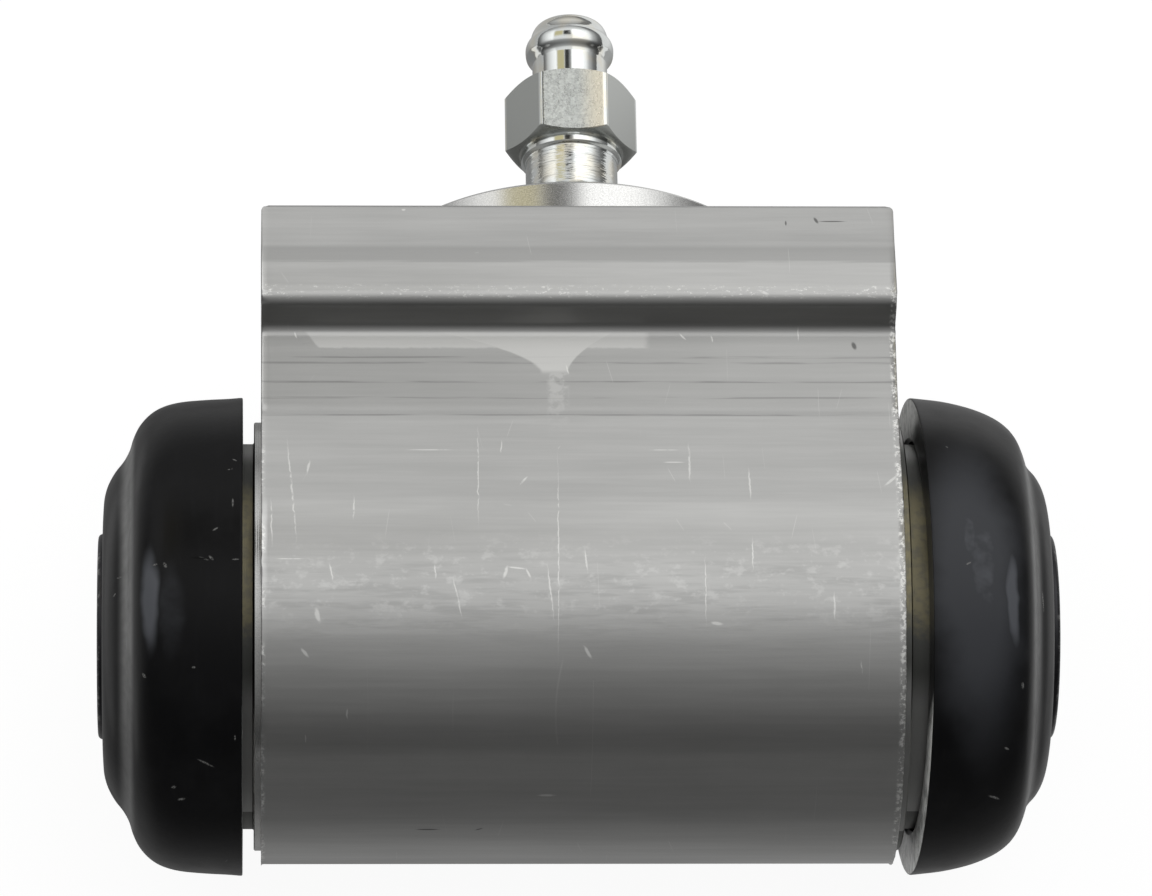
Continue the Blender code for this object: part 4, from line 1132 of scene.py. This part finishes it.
def studio_world(looks):
    """A bright sky above and behind that fades to dusk in front, with a gap between two windows."""
    world = bpy.data.worlds.new("studio")
    bpy.context.scene.world = world
    graph = Graph(world)
    dx, dy, dz = graph.parts(graph.add("ShaderNodeTexCoord", output=0))
    lift = looks.bright_elevation
    level = dy * math.cos(lift) + dz * math.sin(lift)
    stops = {"stops": tuple((0.5 + 0.5 * cosine, light) for cosine, light in SKY)}
    sky = graph.parts(graph.add("ShaderNodeValToRGB", stops, {0: level * 0.5 + 0.5}))[0]
    side = graph.math("ARCTAN2", dx, dz) * math.degrees(1)
    windows = (side.between(*RIGHT_WINDOW) + side.between(*LEFT_WINDOW)) * dy.between(*WINDOW_REACH)
    narrow = dy.between(*GAP_REACH)
    gap = side.between(*WINDOW_GAP) * narrow
    warm = side.between(*WARM_STRIP) * narrow
    low = dz.ramp(0.75, 0.05)
    beside = side.ramp(46, 64).at_least(side.ramp(-76, -92))
    light = sky * (1 + windows * looks.window_gain - gap * 0.95 - warm * 0.25)
    light = light * (1 - low * looks.low_shade) * (1 - beside * looks.side_shade)
    colour = graph.mix(warm, WHITE, shade(looks.warm_light))
    glow = graph.add("ShaderNodeBackground", sockets={0: colour, 1: light * looks.world_level})
    graph.close("ShaderNodeOutputWorld", glow)


def floor_paper(looks):
    """Pale paper that looks white, with the shadow of what lies on it kept faint."""
    material, graph = new_material("floor_paper")
    paper = graph.add("ShaderNodeBsdfDiffuse", sockets={0: shade(looks.paper)})
    glow = graph.add("ShaderNodeEmission", sockets={0: WHITE, 1: looks.paper_white})
    seen = None
    for ray in ("Is Camera Ray", "Is Glossy Ray", "Is Transmission Ray"):
        hit = graph.add("ShaderNodeLightPath", output=ray)
        seen = hit if seen is None else seen.at_least(hit)
    both = graph.add("ShaderNodeMixShader", sockets={0: seen * looks.paper_glow, 1: paper, 2: glow})
    graph.close("ShaderNodeOutputMaterial", both)
    return material


def glowing_card(name, level):
    """Card whose light is worked out by level from x and y on it, in millimetres."""
    material, graph = new_material(name)
    x, y = graph.parts(graph.place())[:2]
    glow = graph.add("ShaderNodeEmission", sockets={1: level(x, y)})
    graph.close("ShaderNodeOutputMaterial", glow)
    return material


def lay_card(name, material, low, high, z):
    """Lay a card on the floor that only the piece's reflections show."""
    card = flat_sheet(name, low, high, z)
    card.data.materials.append(material)
    card.visible_camera = False
    card.visible_diffuse = False
    card.visible_shadow = False


def flat_sheet(name, low, high, z):
    """A flat sheet between two corners."""
    bm = bmesh.new()
    corners = ((low[0], low[1]), (high[0], low[1]), (high[0], high[1]), (low[0], high[1]))
    bm.faces.new([bm.verts.new((x, y, z)) for x, y in corners])
    return make_object(name, bm)


def make_floor(looks):
    """The floor, a dark card in front of the piece and grey ones under and behind it."""
    half = looks.floor_size / 2
    low = cad_box[0].z - FLOOR_GAP
    floor = flat_sheet("floor", (-half, -half), (half, half), low)
    floor.data.materials.append(floor_paper(looks))

    edge, side, start = looks.card_edge, looks.card_side, looks.back_start
    near = edge / MM

    def dark_level(x, y):
        return y.ramp(near - 40, near) * (looks.card_glow * 1.5) + looks.card_glow

    def grey_level(x, y):
        return (y.ramp(30, 52) * 0.5 + 0.5) * (x.ramp(0, 40) * 0.7 + 1.0) * looks.back_glow

    dark, grey = glowing_card("dark_card", dark_level), glowing_card("grey_card", grey_level)
    far = half / 3
    lay_card("dark_card", dark, (-far, -far), (far, edge), low + CARD_RISE)
    lay_card("grey_card", grey, (-side, edge), (side, start), low + CARD_RISE)
    lay_card("back_card", grey, (-far, start), (far, far), low + CARD_RISE)


def make_key_light(looks):
    lamp = bpy.data.lights.new("key", "AREA")
    lamp.shape = "RECTANGLE"
    lamp.size, lamp.size_y = looks.key_size, looks.key_size * KEY_SHAPE
    lamp.energy = looks.key_power
    key = bpy.data.objects.new("key", lamp)
    bpy.context.scene.collection.objects.link(key)
    key.location = looks.key_place
    aim = Vector((0, BORE_AXIS_Y / 2, 0)) - key.location
    key.rotation_euler = aim.to_track_quat("-Z", "Y").to_euler()


def make_camera(looks):
    lens = bpy.data.cameras.new("camera")
    lens.lens = looks.lens
    lens.clip_start = 0.01
    camera = bpy.data.objects.new("camera", lens)
    bpy.context.scene.collection.objects.link(camera)
    bpy.context.scene.camera = camera
    eye = Vector(looks.camera_place)
    forward = (Vector(looks.camera_target) - eye).normalized()
    right = forward.cross(Vector(looks.camera_up)).normalized()
    up = right.cross(forward)
    turn = Matrix((right, up, -forward)).transposed().to_4x4()
    camera.matrix_world = Matrix.Translation(eye) @ turn


def distance(name, description, default):
    return FloatProperty(
        name=name, description=description, default=default,
        subtype="DISTANCE", unit="LENGTH", precision=6,
    )


def inclination(name, description, degrees):
    return FloatProperty(
        name=name, description=description, default=math.radians(degrees),
        subtype="ANGLE", unit="ROTATION",
    )


def amount(name, description, default):
    return FloatProperty(name=name, description=description, default=default, min=0.0, subtype="FACTOR")


def tint(name, description, default):
    return FloatVectorProperty(
        name=name, description=description, default=default, size=3, min=0.0, max=1.0,
        subtype="COLOR",
    )


def location(name, description, default):
    return FloatVectorProperty(
        name=name, description=description, default=default, size=3,
        subtype="TRANSLATION", unit="LENGTH",
    )


class HousingLooks(bpy.types.PropertyGroup):
    edge_break: distance("Edge break", "How far the sawn edges are broken", 0.12 * MM)
    burr: distance("Burr", "How ragged the saw left the edges", 0.10 * MM)
    relief: distance("Relief", "Depth of the die lines and grain", 0.003 * MM)
    satin: amount("Satin", "Roughness of the extruded skin", 0.33)
    wear: amount("Wear", "How strongly the fine handling marks show", 1.0)
    dull_tone: tint("Dull tone", "Colour of the skin where it is dull", (0.41, 0.41, 0.402))
    clean_tone: tint("Clean tone", "Colour of the skin where it is clean", (0.51, 0.51, 0.50))
    bare_tone: tint("Bare tone", "Colour of freshly scratched metal", (0.85, 0.85, 0.83))
    # Painted shade: the necks are darkened where they sit between housing and boot
    neck_shade_tone: tint("Neck tone", "Colour of the turned necks under the boots", (0.11, 0.112, 0.105))
    # Painted yellowish reflection on the necks
    neck_reflection_tone: tint("Oil tone", "Colour of the necks where old oil has dried", (0.21, 0.19, 0.125))


class BootLooks(bpy.types.PropertyGroup):
    wobble: distance("Wobble", "How far the rubber strays inward from true round", 0.08 * MM)
    lean: inclination("Lean", "How far the right boot leans", 1.9)
    slump: distance("Slump", "How far the right boot sinks at its shoulder", 0.75 * MM)
    press: distance("Press", "How far the right boot's front is pressed in", 0.3 * MM)
    satin: amount("Satin", "Roughness of the rubber", 0.31)
    rubber: tint("Rubber", "Colour of the rubber", (0.0045, 0.0045, 0.005))
    film: tint("Film", "Colour of the rubber where a film of dust clings", (0.010, 0.010, 0.011))
    # Colour of the painted sheen patches
    painted_sheen_tone: tint("Sheen tone", "Colour of the rubbed patches", (0.0975, 0.1025, 0.115))
    # The colour of the painted highlight in the boots' valleys
    valley_highlight_tone: tint("Valley tone", "Colour of the dust in the boots' valleys", (0.19, 0.192, 0.192))
    # The rim's colour is a painted reflection
    rim_reflection_tone: tint("Rim tone", "Colour of the dusty rim", (0.90, 0.91, 0.89))
    nick: tint("Nick", "Colour of nicks and specks", (0.22, 0.22, 0.215))


class PistonLooks(bpy.types.PropertyGroup):
    alloy: tint("Alloy", "Colour of the dark anodised pistons", (0.022, 0.022, 0.024))
    bare_alloy: tint("Bare alloy", "Colour of rubbed piston edges", (0.35, 0.35, 0.34))


class BleederLooks(bpy.types.PropertyGroup):
    plate: amount("Plate", "Roughness of the zinc plate", 0.10)
    zinc: tint("Zinc", "Colour of the zinc plate", (0.66, 0.68, 0.67))
    dull_zinc: tint("Dull zinc", "Colour of the plate on the hexagon", (0.47, 0.485, 0.465))
    warm_zinc: tint("Warm zinc", "Colour of the plate where it is tinted", (0.74, 0.68, 0.54))


class StudioLooks(bpy.types.PropertyGroup):
    camera_place: location("Camera place", "Where the camera stands", (-0.027, -0.3607, 0.683))
    camera_target: location("Camera target", "What the camera looks at", (0.0, -0.0174, 0.007))
    camera_up: location("Camera up", "The picture's upward direction", (0.0, 0.901, 0.434))
    lens: FloatProperty(
        name="Lens", description="Focal length in millimetres", default=276.0, min=1.0,
        subtype="DISTANCE_CAMERA", unit="CAMERA",
    )
    world_level: amount("World level", "Strength of the studio's own light", 1.0)
    window_gain: amount("Window gain", "How much brighter the windows are", 0.45)
    bright_elevation: inclination("Bright elevation", "Height of the brightest light", 40.0)
    low_shade: amount("Low shade", "How much the sky fades towards the horizon", 0.6)
    side_shade: amount("Side shade", "How much the sky fades at both sides", 0.45)
    warm_light: tint("Warm light", "Colour between the windows", (0.95, 0.86, 0.52))
    key_place: location("Key place", "Where the key light hangs", (0.35, 0.55, 1.0))
    key_size: distance("Key size", "Width of the key light", 0.8)
    key_power: FloatProperty(
        name="Key power", description="Power of the key light in watts", default=0.4, min=0.0,
        subtype="POWER",
    )
    paper: tint("Paper", "Colour of the floor", (0.9, 0.9, 0.9))
    paper_glow: amount("Paper glow", "How far the floor is lifted to white", 0.88)
    paper_white: amount("Paper white", "Strength of the white that it is lifted to", 1.06)
    card_edge: distance("Card edge", "Where the dark card in front ends", -0.050)
    card_side: distance("Card side", "How far the grey card reaches to either side", 0.070)
    back_start: distance("Back start", "Where the grey card widens behind the piece", 0.036)
    back_glow: amount("Back glow", "Light from the grey card", 0.55)
    card_glow: amount("Card glow", "Light from the dark card", 0.14)
    floor_size: distance("Floor size", "Width of the floor", 6.0)


class WheelCylinderLooks(bpy.types.PropertyGroup):
    housing: PointerProperty(type=HousingLooks)
    boots: PointerProperty(type=BootLooks)
    pistons: PointerProperty(type=PistonLooks)
    bleeder: PointerProperty(type=BleederLooks)
    studio: PointerProperty(type=StudioLooks)


class WHEEL_CYLINDER_OT_housing(bpy.types.Operator):
    """Make the extruded housing with its turned ends, ports and marks"""

    bl_idname = "wheel_cylinder.housing"
    bl_label = "Make Housing"

    def execute(self, context):
        make_housing(context.scene.wheel_cylinder.housing)
        return {"FINISHED"}


class WHEEL_CYLINDER_OT_boots(bpy.types.Operator):
    """Make the two rubber dust boots"""

    bl_idname = "wheel_cylinder.boots"
    bl_label = "Make Dust Boots"

    def execute(self, context):
        looks = context.scene.wheel_cylinder.boots
        material = moulded_rubber(looks)
        for side in FACING:
            make_boot(side, looks, material)
        return {"FINISHED"}


class WHEEL_CYLINDER_OT_pistons(bpy.types.Operator):
    """Make the two slotted pistons"""

    bl_idname = "wheel_cylinder.pistons"
    bl_label = "Make Pistons"

    def execute(self, context):
        material = dark_alloy(context.scene.wheel_cylinder.pistons)
        for side in FACING:
            make_piston(side, material)
        return {"FINISHED"}


class WHEEL_CYLINDER_OT_bleeder(bpy.types.Operator):
    """Make the bleeder screw"""

    bl_idname = "wheel_cylinder.bleeder"
    bl_label = "Make Bleeder Screw"

    def execute(self, context):
        make_bleeder(context.scene.wheel_cylinder.bleeder)
        return {"FINISHED"}


class WHEEL_CYLINDER_OT_inner_parts(bpy.types.Operator):
    """Finish the seals, expanders and spring that stay as solids in the bore"""

    bl_idname = "wheel_cylinder.inner_parts"
    bl_label = "Finish Inner Parts"

    def execute(self, context):
        looks = context.scene.wheel_cylinder
        black, zinc = looks.boots.rubber, looks.bleeder.zinc
        rubber = inner_finish(
            "cup_rubber", (shade(black), shade(black, 1.8)),
            scale=6.0, depth=0.01 * MM, roughness=0.5, metallic=0.0,
        )
        wire = inner_finish(
            "spring_wire", (shade(zinc, 0.55), shade(zinc, 0.75)),
            scale=5.0, depth=0.004 * MM, roughness=0.25, metallic=1.0,
        )
        finishes = {"return_spring": wire}
        for side in FACING:
            finishes[f"{side}_cup_seal"] = rubber
            finishes[f"{side}_cup_expander"] = wire
        for node, material in finishes.items():
            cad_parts[node].material_slots[0].material = material
        return {"FINISHED"}


class WHEEL_CYLINDER_OT_studio(bpy.types.Operator):
    """Set up the floor, the light and the camera"""

    bl_idname = "wheel_cylinder.studio"
    bl_label = "Set Up Studio"

    def execute(self, context):
        looks = context.scene.wheel_cylinder.studio
        context.scene.view_settings.view_transform = "Standard"
        studio_world(looks)
        make_floor(looks)
        make_key_light(looks)
        make_camera(looks)
        return {"FINISHED"}


class WHEEL_CYLINDER_PT_looks(bpy.types.Panel):
    bl_label = "Wheel Cylinder"
    bl_space_type = "VIEW_3D"
    bl_region_type = "UI"
    bl_category = "Wheel Cylinder"

    def draw(self, context):
        looks = context.scene.wheel_cylinder
        for group in (looks.housing, looks.boots, looks.pistons, looks.bleeder, looks.studio):
            box = self.layout.box()
            for name in group.__annotations__:
                box.prop(group, name)
        for operator in OPERATORS:
            self.layout.operator(operator.bl_idname)


OPERATORS = (
    WHEEL_CYLINDER_OT_housing,
    WHEEL_CYLINDER_OT_boots,
    WHEEL_CYLINDER_OT_pistons,
    WHEEL_CYLINDER_OT_bleeder,
    WHEEL_CYLINDER_OT_inner_parts,
    WHEEL_CYLINDER_OT_studio,
)
CLASSES = (
    HousingLooks, BootLooks, PistonLooks, BleederLooks, StudioLooks, WheelCylinderLooks,
    *OPERATORS, WHEEL_CYLINDER_PT_looks,
)


def register():
    for cls in CLASSES:
        bpy.utils.register_class(cls)
    bpy.types.Scene.wheel_cylinder = PointerProperty(type=WheelCylinderLooks)


def unregister():
    del bpy.types.Scene.wheel_cylinder
    for cls in reversed(CLASSES):
        bpy.utils.unregister_class(cls)


def main():
    register()
    bpy.ops.wheel_cylinder.housing()
    bpy.ops.wheel_cylinder.boots()
    bpy.ops.wheel_cylinder.pistons()
    bpy.ops.wheel_cylinder.bleeder()
    bpy.ops.wheel_cylinder.inner_parts()
    bpy.ops.wheel_cylinder.studio()


if __name__ == "__main__":
    main()
